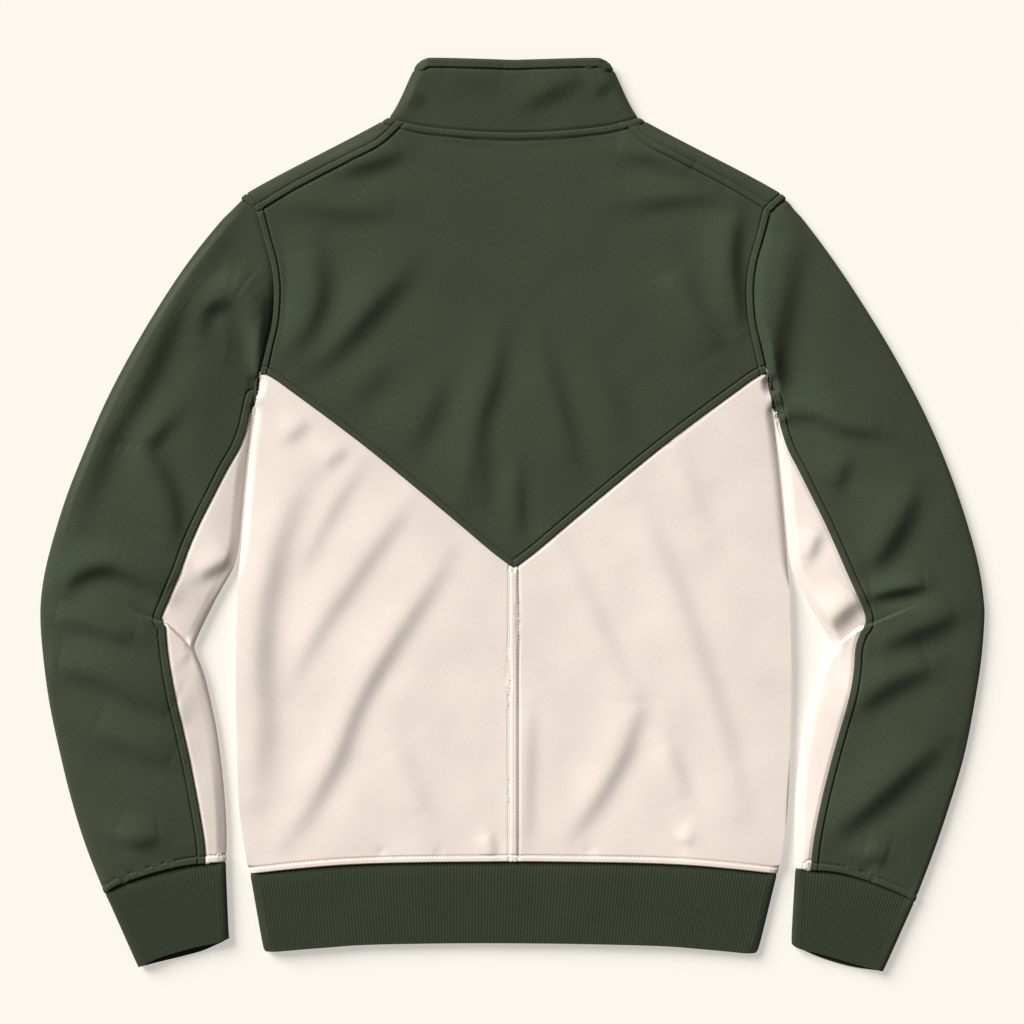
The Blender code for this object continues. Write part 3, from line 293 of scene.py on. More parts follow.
def outward_faces(mesh):
    """For each face of a closed tube of wall: whether it looks out, so that nothing of the tube is in front of it."""
    centres = [face.center for face in mesh.polygons]
    tree = BVHTree.FromPolygons([v.co for v in mesh.vertices], [f.vertices[:] for f in mesh.polygons])
    clear = MERGE * MM
    return [
        tree.ray_cast(centre + face.normal * clear, face.normal, TUBE_DEPTH * MM)[0] is None
        and tree.ray_cast(centre - face.normal * clear, -face.normal, WALL_MOST * MM)[0] is not None
        for centre, face in zip(centres, mesh.polygons)
    ]


def outer_faces(sheet, lowest, tube):
    """Which faces the seed reaches without crossing a rim."""
    mesh = sheet.data
    rims = {edge.key for edge in mesh.edges if edge.use_edge_sharp}
    looks_out = outward_faces(mesh) if tube else [True] * len(mesh.polygons)
    beside = {}
    for face in mesh.polygons:
        for key in face.edge_keys:
            beside.setdefault(key, []).append(face.index)
    links = [[] for _ in mesh.polygons]
    for key, faces in beside.items():
        if key not in rims and len(faces) == 2:
            links[faces[0]].append(faces[1])
            links[faces[1]].append(faces[0])
    flat = [f for f in mesh.polygons if abs(f.normal.z) > 0.5 and f.area > SMALL_FACE * MM * MM]
    seed = (min if lowest else max)(flat, key=lambda f: f.center.z).index
    taken, waiting = {seed}, [seed]
    while waiting:
        for other in links[waiting.pop()]:
            if other not in taken and looks_out[other]:
                taken.add(other)
                waiting.append(other)
    for _ in range(MISSED_ROUNDS):
        taken |= {n for n, near in enumerate(links) if sum(other in taken for other in near) >= 2}
    return [n in taken for n in range(len(mesh.polygons))]


def outer_sheet(node, lowest=False):
    """An open sheet: the wall's face that holds its highest point, or its lowest."""
    sheet = bpy.data.objects.new("cloth_" + node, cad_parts[node].data.copy())
    sheet.data.name = sheet.name
    sheet.data.materials.clear()
    bpy.context.collection.objects.link(sheet)
    select_only(sheet)
    bpy.ops.object.mode_set(mode="EDIT")
    bpy.ops.mesh.select_mode(type="VERT")
    bpy.ops.mesh.select_all(action="SELECT")
    bpy.ops.mesh.remove_doubles(threshold=MERGE * MM)
    bpy.ops.mesh.dissolve_degenerate(threshold=MERGE * MM)
    bpy.ops.mesh.select_all(action="DESELECT")
    bpy.ops.mesh.select_mode(type="EDGE")
    bpy.ops.mesh.edges_select_sharp(sharpness=math.radians(RIM_ANGLE))
    bpy.ops.mesh.mark_sharp()
    bpy.ops.object.mode_set(mode="OBJECT")
    edit_faces(sheet, outer_faces(sheet, lowest, tube=node.startswith(("sleeve", "cuff", "hem"))))
    bpy.ops.mesh.select_all(action="INVERT")
    bpy.ops.mesh.delete(type="FACE")
    bpy.ops.mesh.select_mode(type="EDGE")
    bpy.ops.mesh.select_all(action="SELECT")
    bpy.ops.mesh.mark_sharp(clear=True)
    bpy.ops.mesh.normals_make_consistent(inside=False)
    bpy.ops.object.mode_set(mode="OBJECT")
    seed = (min if lowest else max)(
        sheet.data.polygons, key=lambda f: f.center.z if f.area > SMALL_FACE * MM * MM else MIDDLE * MM
    )
    if (seed.normal.z > 0) == lowest:
        sheet.data.flip_normals()
    bpy.ops.object.mode_set(mode="EDIT")
    bpy.ops.mesh.tris_convert_to_quads(face_threshold=math.pi, shape_threshold=math.pi)
    bpy.ops.mesh.select_all(action="DESELECT")
    bpy.ops.mesh.select_non_manifold(
        extend=False, use_wire=False, use_multi_face=False, use_non_contiguous=False, use_verts=False
    )
    bpy.ops.transform.edge_crease(value=1.0)
    bpy.ops.mesh.select_mode(type="VERT")
    bpy.ops.transform.vert_crease(value=1.0)
    bpy.ops.object.mode_set(mode="OBJECT")
    return sheet


print("a rim turns by more than", RIM_ANGLE, "degrees")

# %% Sheets of all the pieces of cloth
SIDES = ("left", "right")
LOWERS, FRONT_YOKES = ([f"{part}_{side}" for side in SIDES] for part in ("back_lower", "front_yoke"))
TOP_PANELS = ["back_yoke"] + LOWERS
SMOOTH = TOP_PANELS + ["front_lower", "collar"] + FRONT_YOKES
SLEEVES = [f"sleeve_{side}_{part}" for side in SIDES for part in ("main", "under")]
RIBBED = ["hem_band", "cuff_left", "cuff_right"]
sheets = {node: outer_sheet(node, lowest=node == "front_lower") for node in SMOOTH + SLEEVES + RIBBED}
print("faces:", {node: len(sheet.data.polygons) for node, sheet in sheets.items()})


# %% [markdown]
# ### Ribs before subdividing
# The CAD walls of the hem band and cuffs have a zigzag face, one crest and one valley to each rib. Subdividing would
# melt it, so each point's crest or valley is first kept in a vertex group, and the zigzag is levelled. The vertex
# group is spread over the finer points by the subdivision, and gives back full, round ribs at the end.

# %% Crests and valleys
RIB_IN_CAD, RIB_PITCH = 0.5, 2.8  # mm, from valley to crest, and from crest to crest
RIBS_FROM, LEAST_RIB = 4.5, 0.05  # mm, the height and the relief above which a point is a crest or a valley
FACING_UP = 0.9  # of a normal, its upward part
SMOOTH_LEVELS, RIB_LEVELS = 3, 2


def points_of(sheet, what="co"):
    """The sheet's points in mm, or its normals."""
    values = np.empty(3 * len(sheet.data.vertices))
    source = sheet.data.vertex_normals if what == "normal" else sheet.data.vertices
    source.foreach_get("vector" if what == "normal" else "co", values)
    return values.reshape(-1, 3) / (1 if what == "normal" else MM)


def set_points(sheet, points):
    sheet.data.vertices.foreach_set("co", (points * MM).ravel())
    sheet.data.update()


def edge_ends(mesh):
    return np.array([edge.vertices[:] for edge in mesh.edges])


def keep_ribs(sheet):
    points, normals = points_of(sheet), points_of(sheet, "normal")
    total, count = np.zeros_like(points), np.zeros(len(points))
    ends = edge_ends(sheet.data)
    across = np.linalg.norm(points[ends[:, 0]] - points[ends[:, 1]], axis=1) < RIB_PITCH
    ends = ends[across]
    for a, b in (ends.T, ends.T[::-1]):
        np.add.at(total, a, points[b])
        np.add.at(count, a, 1)
    stands = ((points - total / np.maximum(count, 1)[:, None]) * normals).sum(1)
    top = (points[:, 2] > RIBS_FROM) & (normals[:, 2] > FACING_UP)
    crest = np.where(top & (count > 1) & (np.abs(stands) > LEAST_RIB), np.sign(stands), 0.0)
    group = sheet.vertex_groups.new(name="rib")
    for number, value in enumerate(crest):
        group.add([number], 0.5 + 0.5 * float(value), "REPLACE")
    points[:, 2] -= crest * RIB_IN_CAD / 2
    set_points(sheet, points)


def rib_phase(sheet):
    """From -1 in a valley to 1 on a crest, for each point."""
    phase = np.zeros(len(sheet.data.vertices))
    for vertex in sheet.data.vertices:
        for held in vertex.groups:
            phase[vertex.index] = 2 * held.weight - 1
    return phase


print("rib pitch, mm:", RIB_PITCH)


# %% Ribs kept and sheets subdivided
def apply_modifier(sheet, kind, **settings):
    modifier = sheet.modifiers.new(kind, kind)
    for name, value in settings.items():
        setattr(modifier, name, value)
    select_only(sheet)
    bpy.ops.object.modifier_apply(modifier=modifier.name)


coarse_points = {}
for node in RIBBED:
    keep_ribs(sheets[node])
for node, sheet in sheets.items():
    coarse_points[node] = points_of(sheet)
    levels = RIB_LEVELS if node in RIBBED + ["front_lower"] else SMOOTH_LEVELS
    apply_modifier(sheet, "SUBSURF", levels=levels, render_levels=levels, boundary_smooth="PRESERVE_CORNERS")
print("points:", {node: len(sheet.data.vertices) for node, sheet in sheets.items()})


# %% [markdown]
# ## Where the cloth's edges and rolls are
# Three measurements of the sheets drive everything that follows. The open edges are followed round with the cloth on
# their left. The rolls are the points where a sheet turns from its upper to its under side. The seams are the parts of
# one sheet's edge that lie beside another sheet's edge.

# %% Open edges
def edge_loops(sheet):
    """Each open edge of the sheet as a list of point numbers, with the cloth on the left seen from outside."""
    after = {}
    for face in sheet.data.polygons:
        corners = face.vertices[:]
        for a, b in zip(corners, corners[1:] + corners[:1]):
            if after.pop((b, a), None) is None:
                after[(a, b)] = True
    follow = dict(after.keys())
    loops = []
    while follow:
        start, here = next(iter(follow.items()))
        loop = [start]
        follow.pop(start)
        while here != start and here in follow:
            loop.append(here)
            here = follow.pop(here)
        loops.append(loop)
    return loops


def tree_of(points):
    tree = KDTree(len(points))
    for number, point in enumerate(points):
        tree.insert(point, number)
    tree.balance()
    return tree


def distances(points, tree):
    return np.array([tree.find(point)[2] for point in points])


def near_points(points, targets):
    """The distance from each point to the nearest target."""
    return distances(points, tree_of(targets))


def unit(vectors):
    return vectors / np.maximum(np.linalg.norm(vectors, axis=1, keepdims=True), 1e-9)


def open_edge(sheet, loops):
    points = points_of(sheet)
    found = []
    for loop in loops:
        here = points[loop]
        there = np.roll(here, -1, axis=0)
        found += [here + (there - here) * share for share in (0, 1 / 3, 2 / 3)]
    return np.vstack(found)


EDGES, LOOPS, SEAMS = {}, {}, {}


def read_edges():
    for node, sheet in sheets.items():
        LOOPS[node] = edge_loops(sheet)
        EDGES[node] = open_edge(sheet, LOOPS[node])


read_edges()
print("edges followed round:", {node: len(loops) for node, loops in LOOPS.items()})

# %% Seams
SEAM_REACH, FREE_EDGE = 3.0, 6.0  # mm, edges nearer than the first are sewn together, past the second they are free
FINE_STEP, RUN_ON = 0.5, 14.0  # mm, the marks on a strip's line, and how far the line is carried on
END_MARKS, AIM_MARKS = 8, 12  # marks left out at a line's end, and marks over which the way on is read


def find_seam(node, others):
    """The stretches of the node's edge along the others, or where others is None along nothing, as point numbers."""
    points = points_of(sheets[node])
    tree = tree_of(np.vstack([EDGES[other] for other in others or sheets if other != node]))
    runs = []
    for loop in LOOPS[node]:
        gaps = distances(points[loop], tree)
        near = gaps < SEAM_REACH if others else gaps > FREE_EDGE
        if not near.any():
            continue
        turn = 0 if near.all() else int(np.nonzero(~near)[0][0])
        numbers, near = np.roll(loop, -turn), np.roll(near, -turn)
        breaks = np.nonzero(np.diff(near.astype(int)))[0] + 1
        runs += [numbers[part] for part in np.split(np.arange(len(loop)), breaks) if near[part[0]]]
    return runs


def seam_of(node, others):
    """The same, kept from when the sheets still had the heights of the CAD model."""
    return SEAMS.get((node, str(others))) or find_seam(node, others)


def steps_of(line):
    """The length of each step along the line, and how far along it each point is."""
    steps = np.linalg.norm(np.diff(line, axis=0), axis=1)
    return steps, np.concatenate([[0], np.cumsum(steps)])


def length_of(line):
    return steps_of(line)[0].sum()


def evenly(line, pitch):
    _, runs = steps_of(line)
    marks = np.arange(pitch / 2, runs[-1], pitch)
    return np.stack([np.interp(marks, runs, line[:, axis]) for axis in range(3)], axis=1)


def carried_on(line):
    """The line with its ends carried straight on, so that a strip along it runs off the cloth and doesn't end in it."""
    if length_of(line) < 3 * RUN_ON or np.linalg.norm(line[0] - line[-1]) < SEAM_REACH:
        return line
    marks = evenly(line, FINE_STEP)[END_MARKS:-END_MARKS]
    on = np.arange(FINE_STEP, RUN_ON, FINE_STEP)[:, None]
    inner = near_points(line, np.stack([line[0], line[-1]])) > END_MARKS * FINE_STEP
    start = marks[0] + unit(marks[:1] - marks[AIM_MARKS : AIM_MARKS + 1]) * on
    end = marks[-1] + unit(marks[-1:] - marks[-AIM_MARKS - 1 : -AIM_MARKS]) * on
    return np.vstack([marks, line[inner], start, end])


def seam_points(node, others):
    points = points_of(sheets[node])
    return np.vstack([carried_on(points[run]) for run in seam_of(node, others)])


print("points along the neck seam:", len(seam_points("back_yoke", ["collar"])))

# %% Normals and rolls
EDGE_STEP, EDGE_ROUNDS = 1.0, 3  # mm, and how often an edge's marks are smoothed
ROLL_FROM, ROLL_TO = 1.5, 6.5  # mm, the heights between which a roll is steep
STEEP = 0.35  # of a normal, the most of its upward part where the cloth is steep
FLAT = (1, 1, 0)  # a point times this is its place as seen from above


def robust_normals(sheet):
    """The normals, but straight up high on the upper layer where a sliver of a face gives a wrong one."""
    points, normals = points_of(sheet), points_of(sheet, "normal")
    normals[(points[:, 2] > ROLL_TO) & (normals[:, 2] < STEEP)] = (0, 0, 1)
    normals[(points[:, 2] < ROLL_FROM / 2) & (normals[:, 2] > -STEEP)] = (0, 0, -1)
    return normals


def smoothed(line, rounds):
    """Each point between the ends moves towards its two neighbours."""
    for _ in range(rounds):
        line[1:-1] = (line[:-2] + 2 * line[1:-1] + line[2:]) / 4
    return line


def edge_frame(line, normal):
    """Marks at even steps along an edge, the way into the cloth and the cloth's normal there, all smoothed."""
    marks = evenly(line, EDGE_STEP)
    tree = tree_of(line)
    normal = smoothed(normal[[tree.find(mark)[1] for mark in marks]], EDGE_ROUNDS)
    marks = smoothed(marks, EDGE_ROUNDS)
    return marks, unit(np.cross(normal, unit(np.gradient(marks, axis=0)))), unit(normal)


def roll_points():
    found = []
    for node, sheet in sheets.items():
        points, normals = points_of(sheet), points_of(sheet, "normal")
        found.append(points[(np.abs(normals[:, 2]) < STEEP) & (points[:, 2] > ROLL_FROM) & (points[:, 2] < ROLL_TO)])
    return np.vstack(found)


rolls = roll_points()
roll_tree = tree_of(rolls * FLAT)
print("points on the rolls:", len(rolls))


# %% [markdown]
# ## Stitched strips
# Most seams of this garment are topstitched: the seam allowance is turned to one side and sewn down through the cloth a
# few millimetres from the seam. It makes a low, soft strip with a groove at its far side, where the thread pulls the
# cloth in. The table says which piece carries the strip, along which seam, and how wide it is.

# %% Which seams carry a strip
PRESSED = 3.9  # mm, half of the centre-back strip, whose seam is pressed flat and sewn down on both sides
STRIPS = [("back_yoke", LOWERS, 6.1), ("back_yoke", ["collar"], 6.2)]
STRIPS += [("back_yoke", ["sleeve_left_main", "sleeve_right_main"], 5.8)]
for side in SIDES:
    main, under, cuff = f"sleeve_{side}_main", f"sleeve_{side}_under", f"cuff_{side}"
    STRIPS += [
        (f"front_yoke_{side}", ["back_yoke"], 6.0),
        (f"front_yoke_{side}", ["collar"], 6.2),
        (f"front_yoke_{side}", [main], 5.8),
        (f"front_yoke_{side}", ["front_lower"], 6.1),
        (f"back_lower_{side}", ["hem_band"], 5.4),
        (f"back_lower_{side}", [name for name in LOWERS if side not in name], PRESSED),
        (main, [under], 6.6),
        (main, [cuff], 6.4),
        (under, [cuff], 6.4),
    ]
STRIPS += [("front_lower", ["hem_band"], 5.4), ("collar", None, 8.7)]  # the collar's strip follows its free rim
UNDERLAPS = [(other, owner) for owner, others, width in STRIPS for other in others or () if width != PRESSED]
for side in SIDES:  # the sleeves' edges lie under the lower body's too
    UNDERLAPS += [(f"sleeve_{side}_{part}", f"back_lower_{side}") for part in ("main", "under")]
UNDERLAPS = [(under, over) for under, over in UNDERLAPS if under != "front_lower" and find_seam(under, [over])]
print("strips:", len(STRIPS), "lapped edges:", len(UNDERLAPS))

# %% Finer mesh along the strips
FINE_REACH, UNDER_FINE = 9.0, 3.4  # mm from such a seam, where the mesh is made finer
UPPER_BEGINS = 3.0  # mm, above which a point belongs to the upper layer


def refine(node, targets, reach):
    sheet = sheets[node]
    centres = np.array([face.center[:] for face in sheet.data.polygons]) / MM
    near = near_points(centres, targets) < reach
    if reach < FINE_REACH:
        near &= centres[:, 2] > UPPER_BEGINS
    edit_faces(sheet, near)
    bpy.ops.mesh.subdivide(number_cuts=1)
    bpy.ops.object.mode_set(mode="OBJECT")


for node in sheets:
    own = [seam_points(node, others) for owner, others, width in STRIPS if owner == node]
    lapped = [seam_points(node, [over]) for under, over in UNDERLAPS if under == node]
    if node != "front_lower" and own:
        refine(node, np.vstack(own), FINE_REACH)
    if lapped:
        refine(node, np.vstack(lapped), UNDER_FINE)
print("faces:", {node: len(sheet.data.polygons) for node, sheet in sheets.items()})


# %% [markdown]
# ### Smooth edges
# The CAD edge is a chain of short straight chords. Its points stay where they are, and the finer points between two of
# them move onto a smooth curve, so both sides of a seam stay as close together as they are in the CAD model. Real
# corners, where the chain turns by more than 30 degrees, stay sharp.

# %% Curved open edges
CORNER = math.cos(math.radians(30))
MOST_SHIFT, CURVE_REACH = 1.2, 8.0  # mm, how far a point moves, and how far in from the edge
SAME_PLACE = 0.01  # mm, between two points in one place


def curve_edges(node):
    sheet = sheets[node]
    points = points_of(sheet)
    coarse = tree_of(coarse_points[node])
    shift = np.zeros_like(points)
    for loop in LOOPS[node]:
        knots = [i for i, number in enumerate(loop) if coarse.find(points[number])[2] < SAME_PLACE]
        place = points[[loop[i] for i in knots]]
        before, after = place - np.roll(place, 1, axis=0), np.roll(place, -1, axis=0) - place
        back, ahead = np.linalg.norm(before, axis=1)[:, None], np.linalg.norm(after, axis=1)[:, None]
        before, after = unit(before), unit(after)
        turn = (before * ahead + after * back) / (back + ahead)
        sharp = (before * after).sum(1) < CORNER
        for k, start in enumerate(knots):
            end = knots[(k + 1) % len(knots)]
            count = (end - start) % len(loop)
            if count < 2:
                continue
            span = float(ahead[k, 0])
            leave = after[k] if sharp[k] else turn[k]
            arrive = after[k] if sharp[(k + 1) % len(knots)] else turn[(k + 1) % len(knots)]
            first, last = place[k], place[(k + 1) % len(knots)]
            for step in range(1, count):
                number = loop[(start + step) % len(loop)]
                t = np.clip((points[number] - first) @ (last - first) / span**2, 0, 1)
                curve = (2 * t**3 - 3 * t**2 + 1) * first + (3 * t**2 - 2 * t**3) * last
                curve += span * ((t**3 - 2 * t**2 + t) * leave + (t**3 - t**2) * arrive)
                shift[number] = curve - points[number]
    edge = np.array(sorted({number for loop in LOOPS[node] for number in loop}))
    tree = tree_of(points[edge])
    for number, point in enumerate(points):
        _, nearest, gap = tree.find(point)
        if 0 < gap < CURVE_REACH:
            shift[number] = shift[edge[nearest]] * (1 - gap / CURVE_REACH)
    size = np.linalg.norm(shift, axis=1, keepdims=True)
    shift *= np.minimum(1, MOST_SHIFT / np.maximum(size, 1e-9))
    shift[:, 2] = 0
    set_points(sheet, points + shift)
    return size.max()


read_edges()
moved = {node: round(curve_edges(node), 2) for node in sheets if node != "front_lower"}
print("moved onto the curve by at most, mm:", moved)

# %% Points kept inside their edge
ROWS_KEPT, ROW_GAP = 16, 0.03  # rows of points from an edge, and mm between two of them
EDGE_NEAR = 2.0  # mm, a point that belongs to the edge beside it


def keep_inside(node):
    """Subdividing squeezes some inner points past the edge at a bend. Each row of them goes back inside it."""
    sheet = sheets[node]
    points, normals = points_of(sheet), robust_normals(sheet)
    ends = edge_ends(sheet.data)
    row = np.full(len(points), ROWS_KEPT + 1)
    for loop in LOOPS[node]:
        row[loop] = 0
    for number in range(1, ROWS_KEPT + 1):
        for a, b in (ends.T, ends.T[::-1]):
            reached = b[(row[a] == number - 1) & (row[b] > number)]
            row[reached] = number
    rings = [loop + loop[:1] for loop in LOOPS[node]]
    marks, inward, _ = map(np.vstack, zip(*(edge_frame(points[ring], normals[ring]) for ring in rings)))
    tree = tree_of(marks)
    pushed = 0
    for number in np.nonzero((row > 0) & (row <= ROWS_KEPT))[0]:
        _, nearest, gap = tree.find(points[number])
        if gap < EDGE_NEAR:
            short = ROW_GAP * row[number] - (points[number] - marks[nearest]) @ inward[nearest]
            if short > 0:
                points[number] += inward[nearest] * short
                pushed += 1
    set_points(sheet, points)
    return pushed


print("points put back inside:", {node: keep_inside(node) for node in sheets if node != "front_lower"})

# %% Folded faces relaxed
RELAX_ROUNDS, UNTANGLE_ROUNDS, TANGLE_ROWS, TANGLE_REACH = 30, 4, 5, 9.0  # the last in mm


def relax(points, ends, rim, marked):
    """The marked points settle between their neighbours, those on an edge between their neighbours along it."""
    links = np.vstack([ends, ends[:, ::-1]])
    on_rim = np.zeros(len(points), bool)
    on_rim[ends[rim]] = True
    links = links[marked[links[:, 0]] & (np.tile(rim, 2) | ~on_rim[links[:, 0]])]
    number = np.bincount(links[:, 0], minlength=len(points))
    free = number > 1
    for _ in range(RELAX_ROUNDS):
        total = [np.bincount(links[:, 0], points[links[:, 1], axis], len(points)) for axis in range(3)]
        points[free] = np.stack(total, axis=1)[free] / number[free, None]


def untangle(node, near=None):
    """Where two neighbouring faces have folded over each other, the points round them are relaxed.
    With a tree of places, only those near one of them."""
    sheet, mesh = sheets[node], sheets[node].data
    ends = edge_ends(mesh)
    edge_of = np.empty(len(mesh.loops), int)
    mesh.loops.foreach_get("edge_index", edge_of)
    face_of = np.repeat(np.arange(len(mesh.polygons)), [face.loop_total for face in mesh.polygons])
    order, uses = np.argsort(edge_of, kind="stable"), np.bincount(edge_of, minlength=len(ends))
    shared = uses == 2
    first = (np.cumsum(uses) - uses)[shared]
    tangled = 0
    for _ in range(UNTANGLE_ROUNDS):
        ways = np.array([face.normal[:] for face in mesh.polygons])
        over = (ways[face_of[order[first]]] * ways[face_of[order[first + 1]]]).sum(1) < 0
        if not over.any():
            break
        tangled += int(over.sum())
        marked = np.zeros(len(mesh.vertices), bool)
        marked[ends[shared][over]] = True
        if near:
            places = np.nonzero(marked)[0]
            marked[places] = distances(points_of(sheet)[places] * FLAT, near) < TANGLE_REACH
        for _ in range(TANGLE_ROWS):
            marked[ends[marked[ends].any(1)]] = True
        points = points_of(sheet)
        relax(points, ends, uses == 1, marked)
        set_points(sheet, points)
    return tangled


print("folded edges relaxed:", {node: untangle(node) for node in sheets if node not in RIBBED})
read_edges()
for node, others in [(node, others) for node, others, _ in STRIPS] + [(under, [over]) for under, over in UNDERLAPS]:
    SEAMS[node, str(others)] = find_seam(node, others)
print("open edges:", {node: [len(loop) for loop in found] for node, found in LOOPS.items()})


# %% [markdown]
# ## Folds
# A garment that somebody has laid out and smoothed still keeps soft folds where it was pulled into place. Cloth that is
# pushed together doesn't rise evenly: it swells gently on one side and drops more steeply on the other. Each main fold
# is listed with the curved line of its steep side, how wide that side is, and how high the fold is. Its gentle side
# is about twice as wide. They vary in length, width and height. The tucks are narrow troughs where the cloth folds over
# itself.

# %% The folds, in mm from the centre line
CENTRE_SHIFT, LENGTH_SHIFT = 1.0, 0.7  # from those lines to the frame's origin
YOKE_FOLDS = [
    ([(-168, 236), (-163, 195), (-174, 160), (-194, 137)], 12.7, 7.7),
    ([(-87, 210), (-116, 178), (-151, 140), (-180, 120)], 12.7, 7.3),
    ([(-104, 128), (-140, 92)], 14.2, 3.4),
    ([(-93, 311), (-122, 302), (-152, 293)], 9.5, 5.6),
    ([(-203, 267), (-151, 259), (-99, 259)], 11.0, 4.0),
    ([(-6, 160), (-12, 120), (-23, 85), (-32, 39), (-40, 10)], 11.0, 5.1),
    ([(-55, 118), (-66, 90), (-86, 52)], 12.7, 4.0),
    ([(-20, 60), (-24, 2)], 9.5, 3.0),
    ([(28, 149), (46, 91), (60, 39)], 11.0, 4.5),
    ([(69, 137), (93, 97), (104, 62)], 12.7, 3.0),
    ([(6, 40), (9, -20)], 7.9, 3.5),
    ([(199, 265), (194, 219), (202, 160)], 9.5, 7.2),
    ([(145, 219), (162, 184), (188, 147)], 12.7, 6.1),
    ([(93, 265), (151, 271), (186, 271)], 9.5, 4.2),
    ([(86, 311), (121, 305), (151, 289)], 9.5, 5.1),
]
LOWER_FOLDS = [
    ([(-52, -36), (-75, -74), (-104, -118), (-133, -170), (-151, -216), (-174, -257), (-196, -288)], 10.6, 3.8),
    ([(-172, 30), (-190, 0), (-203, -42), (-212, -89), (-215, -135), (-212, -182), (-218, -246)], 15.0, 5.2),
    ([(-176, 78), (-198, 62)], 7.9, 2.2),
    ([(-143, 57), (-164, 38)], 7.9, 2.0),
    ([(-87, 10), (-116, -31), (-145, -72), (-168, -106), (-192, -153)], 10.6, 2.7),
    ([(-130, 42), (-157, -2), (-182, -50)], 9.2, 1.8),
    ([(-99, -200), (-70, -257)], 10.6, 1.7),
    ([(-20, -276), (-14, -296)], 5.3, 2.2),
    ([(112, -160), (110, -175), (98, -211), (75, -251), (52, -282)], 10.6, 3.6),
    ([(40, -14), (69, -72), (98, -135), (116, -164)], 10.6, 1.8),
    ([(110, 21), (127, -19), (151, -77), (173, -141), (191, -199), (204, -254)], 11.9, 2.6),
    ([(143, 66), (160, 25), (175, -15)], 10.6, 1.4),
    ([(136, -196), (156, -246)], 9.2, 2.2),
    ([(141, -282), (154, -289)], 5.3, 2.0),
    ([(18, -165), (17, -187), (14, -285)], 7.9, 1.8),
]
LEFT_SLEEVE_FOLDS = [
    ([(-240, 257), (-262, 219), (-281, 189), (-300, 151), (-315, 117), (-348, 59), (-362, 25), (-373, -8)], 13.8, 7.8),
    ([(-268, 150), (-263, 176), (-245, 181), (-230, 160), (-225, 127), (-222, 110)], 9.6, 8.5),
    ([(-261, 200), (-235, 190), (-222, 170)], 6.9, 3.5),
    ([(-288, 88), (-309, 64), (-312, 54), (-295, 20), (-290, -8), (-293, -24)], 9.6, 6.6),
    ([(-388, -70), (-374, -55), (-350, -50), (-325, -60), (-304, -76)], 9.6, 8.5),
    ([(-401, -94), (-372, -100), (-344, -109), (-327, -112)], 9.6, 5.9),
    ([(-400, -138), (-363, -146), (-329, -163), (-299, -179)], 12, 8.8),
    ([(-368, -192), (-334, -206), (-299, -222)], 12, 6.0),
    ([(-349, -280), (-328, -288), (-305, -285)], 9.4, 6.2),
    ([(-273, -57), (-242, -40)], 6.9, 3.9),
]
RIGHT_SLEEVE_FOLDS = [
    ([(252, 247), (246, 215), (240, 180), (235, 150), (236, 118), (236, 92)], 15.1, 8.5),
    ([(229, 150), (231, 118), (232, 95)], 8.2, 5.9),
    ([(225, 83), (259, 83), (288, 71), (322, 66)], 8.2, 5.5),
    ([(293, 49), (283, 20)], 9.6, 4.3),
    ([(353, 22), (341, -8), (322, -38), (307, -49)], 12.4, 8.5),
    ([(359, -65), (332, -69), (310, -74)], 6.9, 8.5),
    ([(389, -90), (365, -101), (341, -110), (315, -120)], 12.4, 8.5),
    ([(366, -138), (331, -151), (298, -174)], 12.8, 8.6),
    ([(375, -201), (341, -231), (302, -265), (277, -285)], 12.8, 8.6),
    ([(302, -298), (323, -304)], 8.0, 5.0),
    ([(268, -16), (258, -42)], 6.9, 3.1),
    ([(304, -76), (290, -88), (276, -102)], 11, 7.8),
]
COLLAR_FOLDS = [
    ([(64, 376), (40, 366), (8, 350)], 10.9, 3.8),
    ([(86, 374), (70, 362)], 7.8, 2.9),
    ([(-12, 367), (-38, 372), (-62, 378)], 14, 2.6),
    ([(-88, 352), (-76, 366)], 9.4, 2.4),
]
TUCKS = {
    "back": [
        ([(-205, 252), (-197, 201), (-205, 140)], 5, 1.3),
        ([(-88, 326), (0, 319), (90, 327)], 7, 1.1),
        ([(-118, -296), (-112, -290)], 4, 0.7),
        ([(-70, -293), (-60, -296)], 5, 0.6),
        ([(60, -294), (72, -290)], 5, 0.7),
        ([(0, -47), (0, -38)], 1.0, 1.0),
    ],
    "sleeve_left": [([(-227, 122), (-226, 96)], 4, 4.0)],
    "sleeve_right": [([(227, 120), (229, 82)], 5, 4.0)],
}
# At the elbows the lower sleeve lies on the upper one. Each flap is its edge, with the flap on the left, how high it
# stands, how deep the trough beside it is, and which end fades.
FLAPS = {
    "sleeve_left": [
        ([(-280, -116), (-292, -104), (-303, -93.5), (-309, -92.5), (-323, -87), (-339, -76)], 2.4, 2.6, 1),
    ],
    "sleeve_right": [([(353, -77), (332, -86), (313, -94), (300, -99.5), (289, -108), (279, -116)], 2.4, 2.6, 0)],
}
FLAP_EDGE, FLAP_RUN, FLAP_TROUGH = 1.1, 14.0, 5.0  # mm, its edge's half width, and how far it and its trough reach
FLAP_FADE = 0.4  # of a flap's length, over which its end fades
CURVE_STEPS = 5  # from one point of a fold's line to the next
FOLD_REACH = 5  # in widths, past which a fold is not worked out
STEEPNESS = 1.5  # of a fold's steep side
GENTLE_START, GENTLE_RUN, GENTLE_POWER = 0.5, 1.9, 1.6  # the first two in widths of the steep side
TROUGH = 0.3  # of a fold's height, how deep the cloth dips at its foot
TROUGH_PLACE, TROUGH_RUN = 0.4, 1.6  # in widths of the steep side
FOLD_END, END_POWER = 0.12, 0.6  # what is left of a fold's height at its two ends, and how fast it sinks to that
TUCK_POWER = 1.3  # how steep a tuck's sides are
LIGHT_SIDE = (-0.75, 0.66)  # where the gentle sides face, towards the collar's left end
